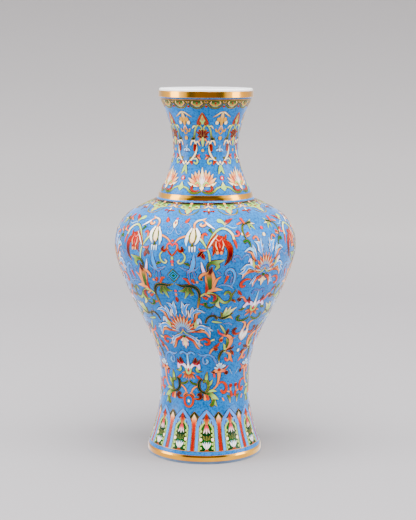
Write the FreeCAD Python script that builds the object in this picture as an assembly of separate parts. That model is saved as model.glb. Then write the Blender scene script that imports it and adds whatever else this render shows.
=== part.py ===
"""Baluster cloisonne vase: a soldered copper carcass, gilt rings, and enamel inside and out.

The vase stands on its foot at Z = 0 with its axis on +Z. Millimetres throughout.
Its front, where the lower lotus flowers and the foot panels are laid out from, faces -Y.
Every piece is a body of revolution or a thin inlay that follows one, so the outer line of
the blue ground enamel drives them all.
"""

import FreeCAD
import Part
import math
import os

from FreeCAD import Vector

# ---- driving dimensions -------------------------------------------------------------

HEIGHT = 382.0
FOOT_TOP = 9.0  # where the gilt foot band ends and the blue ground begins
COLLAR_LOW = 270.3
COLLAR_HIGH = 275.6
LIP_LOW = 373.2  # where the blue ground ends and the gilt lip band begins
LIP_HIGH = 379.6  # top of the gilt lip band, below the white lip

# Outer line of the ground enamel, (height, radius), from the foot to the lip.
GROUND_LINE = [
    (0.0, 59.6),
    (9.0, 58.9),
    (19.0, 55.6),
    (30.0, 52.2),
    (43.0, 49.0),
    (58.0, 47.0),
    (76.0, 46.3),
    (95.0, 47.5),
    (112.0, 51.4),
    (130.0, 58.5),
    (150.0, 68.4),
    (172.0, 79.0),
    (192.0, 87.3),
    (208.0, 92.3),
    (221.0, 94.0),
    (234.0, 92.2),
    (245.0, 87.2),
    (253.0, 80.0),
    (260.0, 68.6),
    (265.2, 58.2),
    (269.0, 50.8),
    (273.0, 47.7),
    (278.0, 46.4),
    (285.0, 42.7),
    (296.0, 38.3),
    (308.0, 34.9),
    (324.0, 33.4),
    (340.0, 35.6),
    (354.0, 39.6),
    (365.0, 44.0),
    (373.2, 47.7),
    (382.0, 51.6),
]

GROUND_THICK = 1.0  # coloured enamel over the copper
COPPER_THICK = 1.2
WHITE_THICK = 0.6  # white enamel lining
COPPER_OUT = -GROUND_THICK
COPPER_IN = COPPER_OUT - COPPER_THICK
WHITE_IN = COPPER_IN - WHITE_THICK

LIP_OUTER = 49.1
LIP_INNER = 45.4  # straight wall of the mouth
LIP_BAND = 1.1  # thickness of the gilt lip band
COLLAR_OUTER = 49.0
COLLAR_CORE = 40.0  # inside the wall, before the ring is cut to fit it
FOOT_OUTER = 59.9
FOOT_EDGE_HIGH = 2.9  # blue enamelled edge under the gilt foot band
FOOT_INNER = 52.4

BASE_LOW = 11.0  # underside of the copper base plate, recessed in the foot
SOLDER_LEG = 1.6  # of the solder run in the corner under the base plate
SEAM = 0.4  # height of a silver solder seam between two copper sections
NECK_SEAM = 273.0
BELLY_SEAM = 221.0
WAIST_SEAM = 84.0

WIRE = 0.5  # width of a cloison wire
WIRE_PROUD = 0.25
INLAY_PROUD = 0.2
LIP_WIRE_HIGH = 371.2
FOOT_WIRE_HIGH = 13.0

LAPPETS = 12
NECK_UNITS = 6
LIP_RUYI = 15
SHOULDER_RUYI = 10
BODY_UNITS = 3

LAPPET_TURN = 2.5  # angle of the first panel, degrees from the front
NECK_TURN = -5.0
LIP_TURN = 12.4
SHOULDER_TURN = -17.0
SHOULDER_LOW = 252.0  # the slope that carries the shoulder border
SHOULDER_HIGH = 269.0
LOW_LOTUS_TURN = -20.0
HIGH_LOTUS_TURN = 40.0
BAT_TURN = 31.0  # from the axis of the lower lotus to the bat beside it
FRET_HEIGHT = 201.2
FRET_REACH = 6.8  # from the centre of the lozenge to each corner

AXIS = Vector(0, 0, 1)
ORIGIN = Vector(0, 0, 0)
PARTS = "parts"
CURVE_SAMPLES = 90
REACH = 130.0  # further out than any surface


# ---- helpers ------------------------------------------------------------------------


def spline(points):
    """A smooth curve in the XZ plane through (height, radius) points."""
    curve = Part.BSplineCurve()
    curve.interpolate([Vector(r, 0, z) for z, r in points])
    return curve


def offset_line(distance):
    """The ground line moved outwards by distance, along its normals."""
    if distance == 0:
        return spline(GROUND_LINE)
    ground = spline(GROUND_LINE)
    low, high = ground.FirstParameter, ground.LastParameter
    moved = []
    for i in range(CURVE_SAMPLES + 1):
        u = low + (high - low) * i / CURVE_SAMPLES
        point, along = ground.value(u), ground.tangent(u)[0]
        normal = Vector(along.z, 0, -along.x)
        if normal.x < 0:
            normal = normal * -1
        moved.append(point + normal * distance)
    return spline([(p.z, p.x) for p in moved])


LINES = {}


def line_at(distance):
    """One curve per offset, shared by both pieces that meet on it."""
    if distance not in LINES:
        LINES[distance] = offset_line(distance)
    return LINES[distance]


def parameter_at(curve, height):
    """Where a rising curve reaches a height."""
    low, high = curve.FirstParameter, curve.LastParameter
    for _ in range(60):
        middle = (low + high) / 2
        if curve.value(middle).z < height:
            low = middle
        else:
            high = middle
    return (low + high) / 2


def radius_at(distance, height):
    curve = line_at(distance)
    return curve.value(parameter_at(curve, height)).x


def revolved(edges):
    face = Part.Face(Part.Wire(Part.__sortEdges__(edges)))
    return face.revolve(ORIGIN, AXIS, 360)


def segment(start, end):
    return Part.makeLine(start, end)


def shell(outer, inner, low, high):
    """The ring between two offsets of the ground line and two heights."""
    edges, ends = [], []
    for distance in (outer, inner):
        curve = line_at(distance)
        a, b = parameter_at(curve, low), parameter_at(curve, high)
        edges.append(curve.toShape(a, b))
        ends.append((curve.value(a), curve.value(b)))
    edges.append(segment(ends[0][0], ends[1][0]))
    edges.append(segment(ends[0][1], ends[1][1]))
    return revolved(edges)


def lathe(points):
    """A body of revolution from a closed outline of (radius, height) points."""
    corners = [Vector(r, 0, z) for r, z in points]
    return revolved([segment(a, b) for a, b in zip(corners, corners[1:] + corners[:1])])


def rounded(shape, fillet, circles):
    """Rounds the circular edges of a shape that have the given (radius, height)."""
    chosen = []
    for edge in shape.Edges:
        box = edge.BoundBox
        if box.ZLength > 0.01:
            continue
        if any(abs(box.XMax - r) < 0.05 and abs(box.ZMin - z) < 0.01 for r, z in circles):
            chosen.append(edge)
    return shape.makeFillet(fillet, chosen)


def polygon(points):
    corners = [Vector(x, 0, z) for x, z in points]
    return Part.Face(Part.makePolygon(corners + corners[:1]))


def smooth_outline(points):
    """A closed smooth outline through (across, up) points."""
    curve = Part.BSplineCurve()
    curve.interpolate([Vector(x, 0, z) for x, z in points], PeriodicFlag=True)
    return Part.Face(Part.Wire(curve.toShape()))


def disc(x, z, radius):
    circle = Part.Circle(Vector(x, 0, z), Vector(0, -1, 0), radius)
    return Part.Face(Part.Wire(circle.toShape()))


def mirrored(points):
    """An outline given for x >= 0 from bottom to top, closed with its left half."""
    return points + [(-x, z) for x, z in reversed(points) if x > 0]


def ring_of(solid, count, turn):
    """Copies of a solid around the axis, the first one turned from the front."""
    copies = []
    for i in range(count):
        copy = solid.copy()
        copy.rotate(ORIGIN, AXIS, turn + i * 360.0 / count)
        copies.append(copy)
    return Part.makeCompound(copies)


def inlay(face):
    """A thin inlay on the wall, from an outline that is pushed in from the front."""
    box = face.BoundBox
    skin = shell(INLAY_PROUD, 0, box.ZMin - 1, box.ZMax + 1)
    front = Part.makeBox(2 * REACH, REACH, HEIGHT, Vector(-REACH, -REACH, 0))
    return face.extrude(Vector(0, -REACH, 0)).common(skin.common(front))


def top_inlay(face):
    """A thin inlay on the shoulder, from an outline that is pushed down from above.

    The outline is drawn in the XZ plane with up meaning nearer the axis.
    """
    flat = face.copy()
    flat.rotate(ORIGIN, Vector(1, 0, 0), -90)
    skin = shell(INLAY_PROUD, 0, SHOULDER_LOW, SHOULDER_HIGH)
    flat.translate(Vector(0, 0, SHOULDER_LOW - 1))
    return flat.extrude(Vector(0, 0, SHOULDER_HIGH - SHOULDER_LOW + 2)).common(skin)


def save(name, shape):
    """Writes one node, as one solid or as a compound of separate ones."""
    solids = shape.Solids
    if not solids or not all(s.isValid() and s.Volume > 0 for s in solids):
        raise ValueError(name + " has no valid solid")
    out = solids[0] if len(solids) == 1 else Part.makeCompound(solids)
    out.exportStep(os.path.join(PARTS, name + ".step"))
    print(name, len(solids), round(sum(s.Volume for s in solids), 1))


# ---- copper carcass -----------------------------------------------------------------


def copper_sections():
    half = SEAM / 2
    bounds = [
        ("foot_shell", FOOT_EDGE_HIGH, WAIST_SEAM - half),
        ("belly_shell", WAIST_SEAM + half, BELLY_SEAM - half),
        ("shoulder_shell", BELLY_SEAM + half, NECK_SEAM - half),
        ("neck_shell", NECK_SEAM + half, LIP_LOW),
    ]
    for name, low, high in bounds:
        save(name, shell(COPPER_OUT, COPPER_IN, low, high))


def solder_seams():
    half = SEAM / 2
    seams = (
        ("waist_solder_seam", WAIST_SEAM),
        ("belly_solder_seam", BELLY_SEAM),
        ("neck_solder_seam", NECK_SEAM),
    )
    for name, height in seams:
        save(name, shell(COPPER_OUT, COPPER_IN, height - half, height + half))


def base_plate():
    """A flat copper disc that closes the bottom, cut to the taper of the foot."""
    top = BASE_LOW + COPPER_THICK
    save(
        "base_plate",
        lathe(
            [
                (0, BASE_LOW),
                (radius_at(COPPER_IN, BASE_LOW), BASE_LOW),
                (radius_at(COPPER_IN, top), top),
                (0, top),
            ]
        ).common(inside_of(COPPER_IN, BASE_LOW, top)),
    )


def inside_of(distance, low, high):
    """Everything inside an offset of the ground line, between two heights."""
    curve = line_at(distance)
    a, b = parameter_at(curve, low), parameter_at(curve, high)
    foot, head = curve.value(a), curve.value(b)
    edges = [
        curve.toShape(a, b),
        segment(Vector(0, 0, foot.z), foot),
        segment(head, Vector(0, 0, head.z)),
        segment(Vector(0, 0, head.z), Vector(0, 0, foot.z)),
    ]
    return revolved(edges)


def base_solder_fillet():
    """The run of solder in the corner under the base plate."""
    corner = radius_at(COPPER_IN, BASE_LOW)
    beyond = corner + 1
    fillet = lathe(
        [
            (corner - SOLDER_LEG, BASE_LOW),
            (beyond, BASE_LOW),
            (beyond, BASE_LOW - SOLDER_LEG),
        ]
    )
    inside = inside_of(COPPER_IN, BASE_LOW - SOLDER_LEG - 1, BASE_LOW)
    save("base_solder_fillet", fillet.common(inside))


# ---- gilt rings ---------------------------------------------------------------------


def lip_ring():
    """The straight gilt band round the mouth."""
    band = lathe(
        [
            (LIP_OUTER - LIP_BAND, LIP_LOW),
            (LIP_OUTER, LIP_LOW),
            (LIP_OUTER, LIP_HIGH),
            (LIP_OUTER - LIP_BAND, LIP_HIGH),
        ]
    )
    save("lip_ring", rounded(band, 0.35, [(LIP_OUTER, LIP_LOW), (LIP_OUTER, LIP_HIGH)]))


def collar_ring():
    """The gilt ring that covers the seam between neck and shoulder."""
    middle = (COLLAR_LOW + COLLAR_HIGH) / 2
    ring = lathe(
        [
            (COLLAR_CORE, COLLAR_LOW),
            (COLLAR_OUTER + 0.4, COLLAR_LOW),
            (COLLAR_OUTER + 0.2, middle),
            (COLLAR_OUTER - 0.6, COLLAR_HIGH),
            (COLLAR_CORE, COLLAR_HIGH),
        ]
    )
    ring = ring.cut(inside_of(0, COLLAR_LOW - 5, COLLAR_HIGH + 5))
    circles = [(COLLAR_OUTER + 0.4, COLLAR_LOW), (COLLAR_OUTER - 0.6, COLLAR_HIGH)]
    save("collar_ring", rounded(ring, 0.3, circles))


def foot_ring():
    """The gilt band round the foot, a little fuller at its lower edge."""
    band = lathe(
        [
            (FOOT_OUTER - 1.6, FOOT_EDGE_HIGH),
            (FOOT_OUTER, FOOT_EDGE_HIGH),
            (FOOT_OUTER, FOOT_EDGE_HIGH + 4.0),
            (FOOT_OUTER - 0.5, FOOT_TOP),
            (FOOT_OUTER - 2.5, FOOT_TOP),
        ]
    )
    band = band.cut(inside_of(COPPER_OUT, 0.5, FOOT_TOP + 4))
    save("foot_ring", rounded(band, 0.3, [(FOOT_OUTER - 0.5, FOOT_TOP)]))


# ---- enamel -------------------------------------------------------------------------


def ground_enamels():
    half = WIRE / 2
    zones = [
        ("foot_strip_enamel", FOOT_TOP, FOOT_WIRE_HIGH - half),
        ("body_ground_enamel", FOOT_WIRE_HIGH + half, NECK_SEAM),
        ("neck_ground_enamel", NECK_SEAM, LIP_WIRE_HIGH - half),
        ("lip_strip_enamel", LIP_WIRE_HIGH + half, LIP_LOW),
    ]
    for name, low, high in zones:
        save(name, shell(0, COPPER_OUT, low, high))


def border_wires():
    """The two wires that run right round, above the foot band and under the lip."""
    half = WIRE / 2
    for name, height in (("foot_border_wire", FOOT_WIRE_HIGH), ("lip_border_wire", LIP_WIRE_HIGH)):
        save(name, shell(WIRE_PROUD, COPPER_OUT, height - half, height + half))


def white_linings():
    floor_top = BASE_LOW + COPPER_THICK + WHITE_THICK
    save("inner_body_enamel", shell(COPPER_IN, WHITE_IN, floor_top, NECK_SEAM))
    save("inner_neck_enamel", shell(COPPER_IN, WHITE_IN, NECK_SEAM, LIP_LOW))
    save("inner_floor_enamel", inside_of(COPPER_IN, floor_top - WHITE_THICK, floor_top))


def white_lip():
    """The white enamelled lip inside the gilt band: a straight mouth with a rounded top."""
    band_inner = LIP_OUTER - LIP_BAND
    lip = lathe(
        [
            (radius_at(WHITE_IN, LIP_LOW), LIP_LOW),
            (band_inner, LIP_LOW),
            (band_inner, HEIGHT),
            (LIP_INNER, HEIGHT),
            (LIP_INNER, LIP_LOW + 1.4),
        ]
    )
    save("white_lip", rounded(lip, 1.1, [(band_inner, HEIGHT)]))


def foot_enamels():
    plate = inside_of(COPPER_IN, BASE_LOW - GROUND_THICK, BASE_LOW)
    save("base_enamel", plate.cut(fillet_space()))
    save("foot_inner_enamel", shell(COPPER_IN, WHITE_IN, FOOT_EDGE_HIGH, BASE_LOW - SOLDER_LEG))
    edge = lathe(
        [
            (FOOT_INNER, 0),
            (FOOT_OUTER - 0.8, 0),
            (FOOT_OUTER - 0.3, 0.8),
            (FOOT_OUTER - 0.3, FOOT_EDGE_HIGH),
            (FOOT_INNER, FOOT_EDGE_HIGH),
        ]
    )
    save("foot_rim_enamel", edge)


def fillet_space():
    """Room for the solder in the corner of the base enamel."""
    corner = radius_at(COPPER_IN, BASE_LOW)
    beyond = corner + 2
    return lathe(
        [
            (corner - SOLDER_LEG, BASE_LOW),
            (beyond, BASE_LOW),
            (beyond, BASE_LOW - SOLDER_LEG),
            (corner, BASE_LOW - SOLDER_LEG),
        ]
    )


# ---- inlaid motifs ------------------------------------------------------------------


def foot_lappets():
    """Twelve arched panels with a point, twelve tapered bars and their chevrons."""
    low = FOOT_WIRE_HIGH + 0.4
    arch = mirrored(
        [(11.6, low), (11.2, 26.0), (10.4, 37.0), (8.3, 41.4), (4.4, 45.4), (1.1, 48.6), (0, 51.3)]
    )
    save("foot_lappet_panels", ring_of(inlay(polygon(arch)), LAPPETS, LAPPET_TURN))
    bar = mirrored([(2.1, low), (1.8, 36.5), (3.6, 41.8), (4.3, 44.6), (0, 49.4)])
    turn = LAPPET_TURN + 180.0 / LAPPETS
    save("foot_lappet_bars", ring_of(inlay(polygon(bar)), LAPPETS, turn))
    chevron = [(4.5, 44.9), (5.9, 46.2), (0, 53.0), (-5.9, 46.2), (-4.5, 44.9), (0, 49.9)]
    save("foot_chevrons", ring_of(inlay(polygon(chevron)), LAPPETS, turn))


def lip_border():
    """Ruyi heads that hang from the lip wire, with a pearl between each pair."""
    head = smooth_outline(
        mirrored([(0, 359.4), (3.4, 361.4), (6.4, 364.4), (7.4, 367.2), (5.0, 369.2), (0, 369.4)])
    )
    save("lip_ruyi_heads", ring_of(inlay(head), LIP_RUYI, LIP_TURN))
    pearl = disc(0, 361.6, 1.1)
    save("lip_pearls", ring_of(inlay(pearl), LIP_RUYI, LIP_TURN + 180.0 / LIP_RUYI))


def neck_motifs():
    spade = smooth_outline(
        mirrored([(0, 347.5), (3.2, 345.6), (4.6, 347.6), (3.0, 352.5), (0, 358.4)])
    )
    save("neck_spades", ring_of(inlay(spade), NECK_UNITS, NECK_TURN))
    palmette = smooth_outline(mirrored([(0, 327.0), (3.4, 333.0), (6.0, 338.6), (0, 340.0)]))
    save("neck_palmettes", ring_of(inlay(palmette), NECK_UNITS, NECK_TURN))
    turn = NECK_TURN + 180.0 / NECK_UNITS
    fish = smooth_outline(
        mirrored([(0, 341.5), (1.6, 345.5), (5.2, 349.0), (2.0, 353.0), (0, 356.2)])
    )
    save("neck_pendants", ring_of(inlay(fish), NECK_UNITS, turn))
    save("neck_lotus_flowers", ring_of(inlay(lotus(11.5, 12.5, 290.0, 7)), NECK_UNITS, NECK_TURN))


def lotus(half_width, height, low, petals):
    """A fan of pointed petals over a small calyx."""
    points = [(0.0, low - 2.0)]
    for i in range(petals):
        share = (i + 0.5) / petals
        angle = math.pi * share
        tip = (half_width * math.cos(angle), low + 2.0 + height * math.sin(angle))
        notch_angle = math.pi * (i + 1.0) / petals
        notch = (
            0.62 * half_width * math.cos(notch_angle),
            low + 2.0 + 0.62 * height * math.sin(notch_angle),
        )
        points.append(tip)
        if i < petals - 1:
            points.append(notch)
    return polygon(points)


def shoulder_border():
    """Ruyi heads and florets laid on the slope under the collar."""
    head = smooth_outline(
        mirrored([(0, -73.5), (6.4, -70.0), (9.4, -63.0), (5.8, -57.0), (0, -55.0)])
    )
    save("shoulder_ruyi_heads", ring_of(top_inlay(head), SHOULDER_RUYI, SHOULDER_TURN))
    floret = polygon(mirrored([(0, -73.0), (1.2, -69.8), (4.4, -68.4), (1.4, -67.0), (0, -64.6)]))
    turn = SHOULDER_TURN + 180.0 / SHOULDER_RUYI
    save("shoulder_florets", ring_of(top_inlay(floret), SHOULDER_RUYI, turn))


def body_motifs():
    low = inlay(lotus(40.0, 34.0, 136.0, 9))
    save("lower_lotus_flowers", ring_of(low, BODY_UNITS, LOW_LOTUS_TURN))
    high = inlay(lotus(27.0, 26.0, 204.0, 9))
    save("upper_lotus_flowers", ring_of(high, BODY_UNITS, HIGH_LOTUS_TURN))
    lozenge = polygon(
        [
            (0, FRET_HEIGHT - FRET_REACH),
            (FRET_REACH, FRET_HEIGHT),
            (0, FRET_HEIGHT + FRET_REACH),
            (-FRET_REACH, FRET_HEIGHT),
        ]
    )
    save("fret_lozenges", ring_of(inlay(lozenge), BODY_UNITS, LOW_LOTUS_TURN))
    bat = smooth_outline(
        [(-8, 236), (-2, 241), (4, 240), (9, 233), (10, 216), (4, 226), (-4, 225), (-10, 228)]
    )
    right = inlay(bat)
    left = right.mirror(ORIGIN, Vector(1, 0, 0))
    pairs = [
        ring_of(right, BODY_UNITS, LOW_LOTUS_TURN + BAT_TURN),
        ring_of(left, BODY_UNITS, LOW_LOTUS_TURN - BAT_TURN),
    ]
    save("scroll_bats", Part.makeCompound(pairs))


def main():
    os.makedirs(PARTS, exist_ok=True)
    copper_sections()
    solder_seams()
    base_plate()
    base_solder_fillet()
    lip_ring()
    collar_ring()
    foot_ring()
    ground_enamels()
    border_wires()
    white_linings()
    white_lip()
    foot_enamels()
    foot_lappets()
    lip_border()
    neck_motifs()
    shoulder_border()
    body_motifs()


main()
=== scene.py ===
"""A cloisonne vase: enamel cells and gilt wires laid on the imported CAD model.

Motifs are drawn as strokes in the wall's own coordinates: degrees round the axis, from the
motif's own axis, and millimetres of arc up the wall. They are then bent on to the wall.
"""

import math

import bpy
import numpy as np
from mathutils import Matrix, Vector


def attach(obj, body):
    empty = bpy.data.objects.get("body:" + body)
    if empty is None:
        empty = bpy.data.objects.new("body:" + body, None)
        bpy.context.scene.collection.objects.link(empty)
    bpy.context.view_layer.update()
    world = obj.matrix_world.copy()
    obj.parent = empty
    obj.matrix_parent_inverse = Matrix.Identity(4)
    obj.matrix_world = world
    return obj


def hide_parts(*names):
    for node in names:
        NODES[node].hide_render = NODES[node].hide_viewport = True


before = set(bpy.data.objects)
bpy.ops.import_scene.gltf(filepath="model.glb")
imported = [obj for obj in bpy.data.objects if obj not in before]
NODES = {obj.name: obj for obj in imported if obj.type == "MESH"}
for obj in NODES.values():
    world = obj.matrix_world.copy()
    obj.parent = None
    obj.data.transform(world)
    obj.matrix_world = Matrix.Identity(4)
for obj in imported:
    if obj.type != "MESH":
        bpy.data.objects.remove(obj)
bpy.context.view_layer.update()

MM = 0.001

# ---- enamel colours and the painted groove shade, sRGB from 0 to 255 ------------------

PALETTE = {
    "white": (250, 250, 252),
    "ice": (104, 200, 250),
    "sky": (0, 148, 236),
    "azure": (0, 124, 222),
    "cobalt": (0, 94, 186),
    "lilac": (226, 190, 248),
    "cream": (250, 228, 176),
    "peach": (240, 132, 66),
    "gold": (212, 150, 52),
    "orange": (194, 24, 0),
    "red": (150, 0, 0),
    "crimson": (70, 0, 2),
    "rose": (222, 10, 62),
    "magenta": (128, 0, 26),
    "pale": (154, 200, 98),
    "sage": (56, 93, 24),
    "olive": (57, 62, 0),
    "green": (0, 78, 18),
    "dark": (0, 34, 8),
    # painted shade: the dark groove line at each wire's foot, down the cell's side and out on the
    # ground
    "solder": (14, 5, 0),
}


def linear(colour):
    """An sRGB colour of 0 to 255 as linear light."""
    parts = [c / 255 for c in colour]
    return [c / 12.92 if c <= 0.04045 else ((c + 0.055) / 1.055) ** 2.4 for c in parts]


LINEAR = {name: np.array(linear(colour)) for name, colour in PALETTE.items()}

# ---- the wall -------------------------------------------------------------------------

OUTWARD = 0.05  # least turn outward of a face that counts as the wall's outside
SLOPE_REACH = 0.6  # mm to each side over which the wall's slope is taken


def wall_line(names):
    """The outer line of the ground enamel as (height, radius) in mm, read from its nodes."""
    found = {}
    for name in names:
        mesh = NODES[name].data
        for face in mesh.polygons:
            out = Vector((face.center.x, face.center.y, 0)).normalized()
            if face.normal.dot(out) < OUTWARD:
                continue
            for index in face.vertices:
                x, y, z = mesh.vertices[index].co
                found[round(z / MM, 2)] = math.hypot(x, y) / MM
    return np.array(sorted(found.items())).T


WALL_NODES = ("foot_strip_enamel", "body_ground_enamel", "neck_ground_enamel", "lip_strip_enamel")
WALL_Z, WALL_R = wall_line(WALL_NODES)
WALL_ARC = np.r_[0, np.cumsum(np.hypot(np.diff(WALL_Z), np.diff(WALL_R)))]


def arc_at(height):
    return float(np.interp(height, WALL_Z, WALL_ARC))


def height_of(arc):
    return np.interp(arc, WALL_ARC, WALL_Z)


def radius_of(arc):
    return np.interp(arc, WALL_ARC, WALL_R)


def degree_at(arc):
    """How many mm a degree round the axis is, at an arc up the wall."""
    return math.radians(1) * float(radius_of(arc))


def on_wall(turn, arc, lift):
    """Points in metres at an angle from the front, an arc up the wall and a height off it."""
    dz = height_of(arc + SLOPE_REACH) - height_of(arc - SLOPE_REACH)
    dr = radius_of(arc + SLOPE_REACH) - radius_of(arc - SLOPE_REACH)
    size = np.hypot(dz, dr)
    out, up = dz / size, -dr / size
    angle = np.radians(turn)
    reach = radius_of(arc) + lift * out
    z = height_of(arc) + lift * up
    return np.stack([reach * np.sin(angle), -reach * np.cos(angle), z], -1) * MM


# ---- strokes --------------------------------------------------------------------------

# All in mm, but for the shares and degrees.
CELL_LIFT = 0.10  # from the ground up to a cell's edge
CELL_CROWN = 0.03  # more across its middle
LAYER_LIFT = 0.05  # from one layer to the next
SUNK = -0.08  # foot of a cell that has no wire, in the ground
INSET = 0.1  # a stroke's half width takes in this much of its outline
LEAST_HALF = 0.06
SKIRT = 0.84  # reach of the dark painted groove shade round a cell, out on to the ground
SKIRT_HALF = 1.3  # half width from which a cell has that whole reach
LEAST_SKIRT = 0.3  # share of it that the narrowest cell has
EDGE_OUT, EDGE_IN = 0.12, 0.04  # where a cell's top edge turns from the painted groove shade to enamel
WIDE, VERY_WIDE = 1.2, 3  # half widths above which a cell's top has a ring, or three
WIRE_HALF = 0.15
WIRE_OVER = 0.06  # the wire's ridge above its cell's edge
WIRE_FOOT = 0.04  # and its foot below it
WIRE_STEP = 0.08  # least step along a wire
STEP = 1.7  # between stations along a stroke
BLUNT = 0.3  # half width from which a stroke's end is rounded
CAP = (30, 60, 84)  # degrees round a blunt end
TINY = 1e-9


def smooth(rows, count):
    """A Catmull-Rom line through rows, with an even share of stations for each span."""
    rows = np.asarray(rows, float)
    if len(rows) == 2:
        share = np.linspace(0, 1, count)[:, None]
        return rows[0] * (1 - share) + rows[1] * share
    padded = np.vstack([2 * rows[0] - rows[1], rows, 2 * rows[-1] - rows[-2]])
    at = np.linspace(0, len(rows) - 1, count)
    span = np.minimum(at.astype(int), len(rows) - 2)
    t = (at - span)[:, None]
    a, b, c, d = (padded[span + k] for k in range(4))
    return 0.5 * (
        2 * b + (c - a) * t + (2 * a - 5 * b + 4 * c - d) * t**2 + (3 * b - a - 3 * c + d) * t**3
    )


def evenly(values, count):
    """Values spread over a stroke's length, straight from one to the next."""
    return np.interp(np.linspace(0, 1, count), np.linspace(0, 1, len(values)), values)


def sideways(along):
    """Unit vectors to the left of a line's steps."""
    along = along / (np.hypot(*along.T)[:, None] + TINY)
    return np.stack([-along[:, 1], along[:, 0]], -1)


def rounded_ends(line, half):
    """Carries a line that ends wide on round a half circle, so that its end isn't cut off."""
    for end in (0, -1):
        if half[end] < BLUNT:
            continue
        wide = half[end]
        out = line[end] - (line[1] if end == 0 else line[-2])
        out = out / (np.hypot(*out) + TINY)
        extra = [line[end] + out * wide * math.sin(math.radians(d)) for d in CAP]
        widths = [wide * math.cos(math.radians(d)) for d in CAP]
        if end == 0:
            line = np.vstack([extra[::-1], line])
            half = np.r_[widths[::-1], half]
        else:
            line = np.vstack([line, extra])
            half = np.r_[half, widths]
    return line, half


def blend(colours, count):
    """Named colours as a blend over a stroke's length."""
    shades = np.array([LINEAR[name] for name in colours.split()])
    share = np.linspace(0, len(shades) - 1, count)
    return np.stack([np.interp(share, range(len(shades)), shades[:, k]) for k in range(3)], -1)


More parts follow.
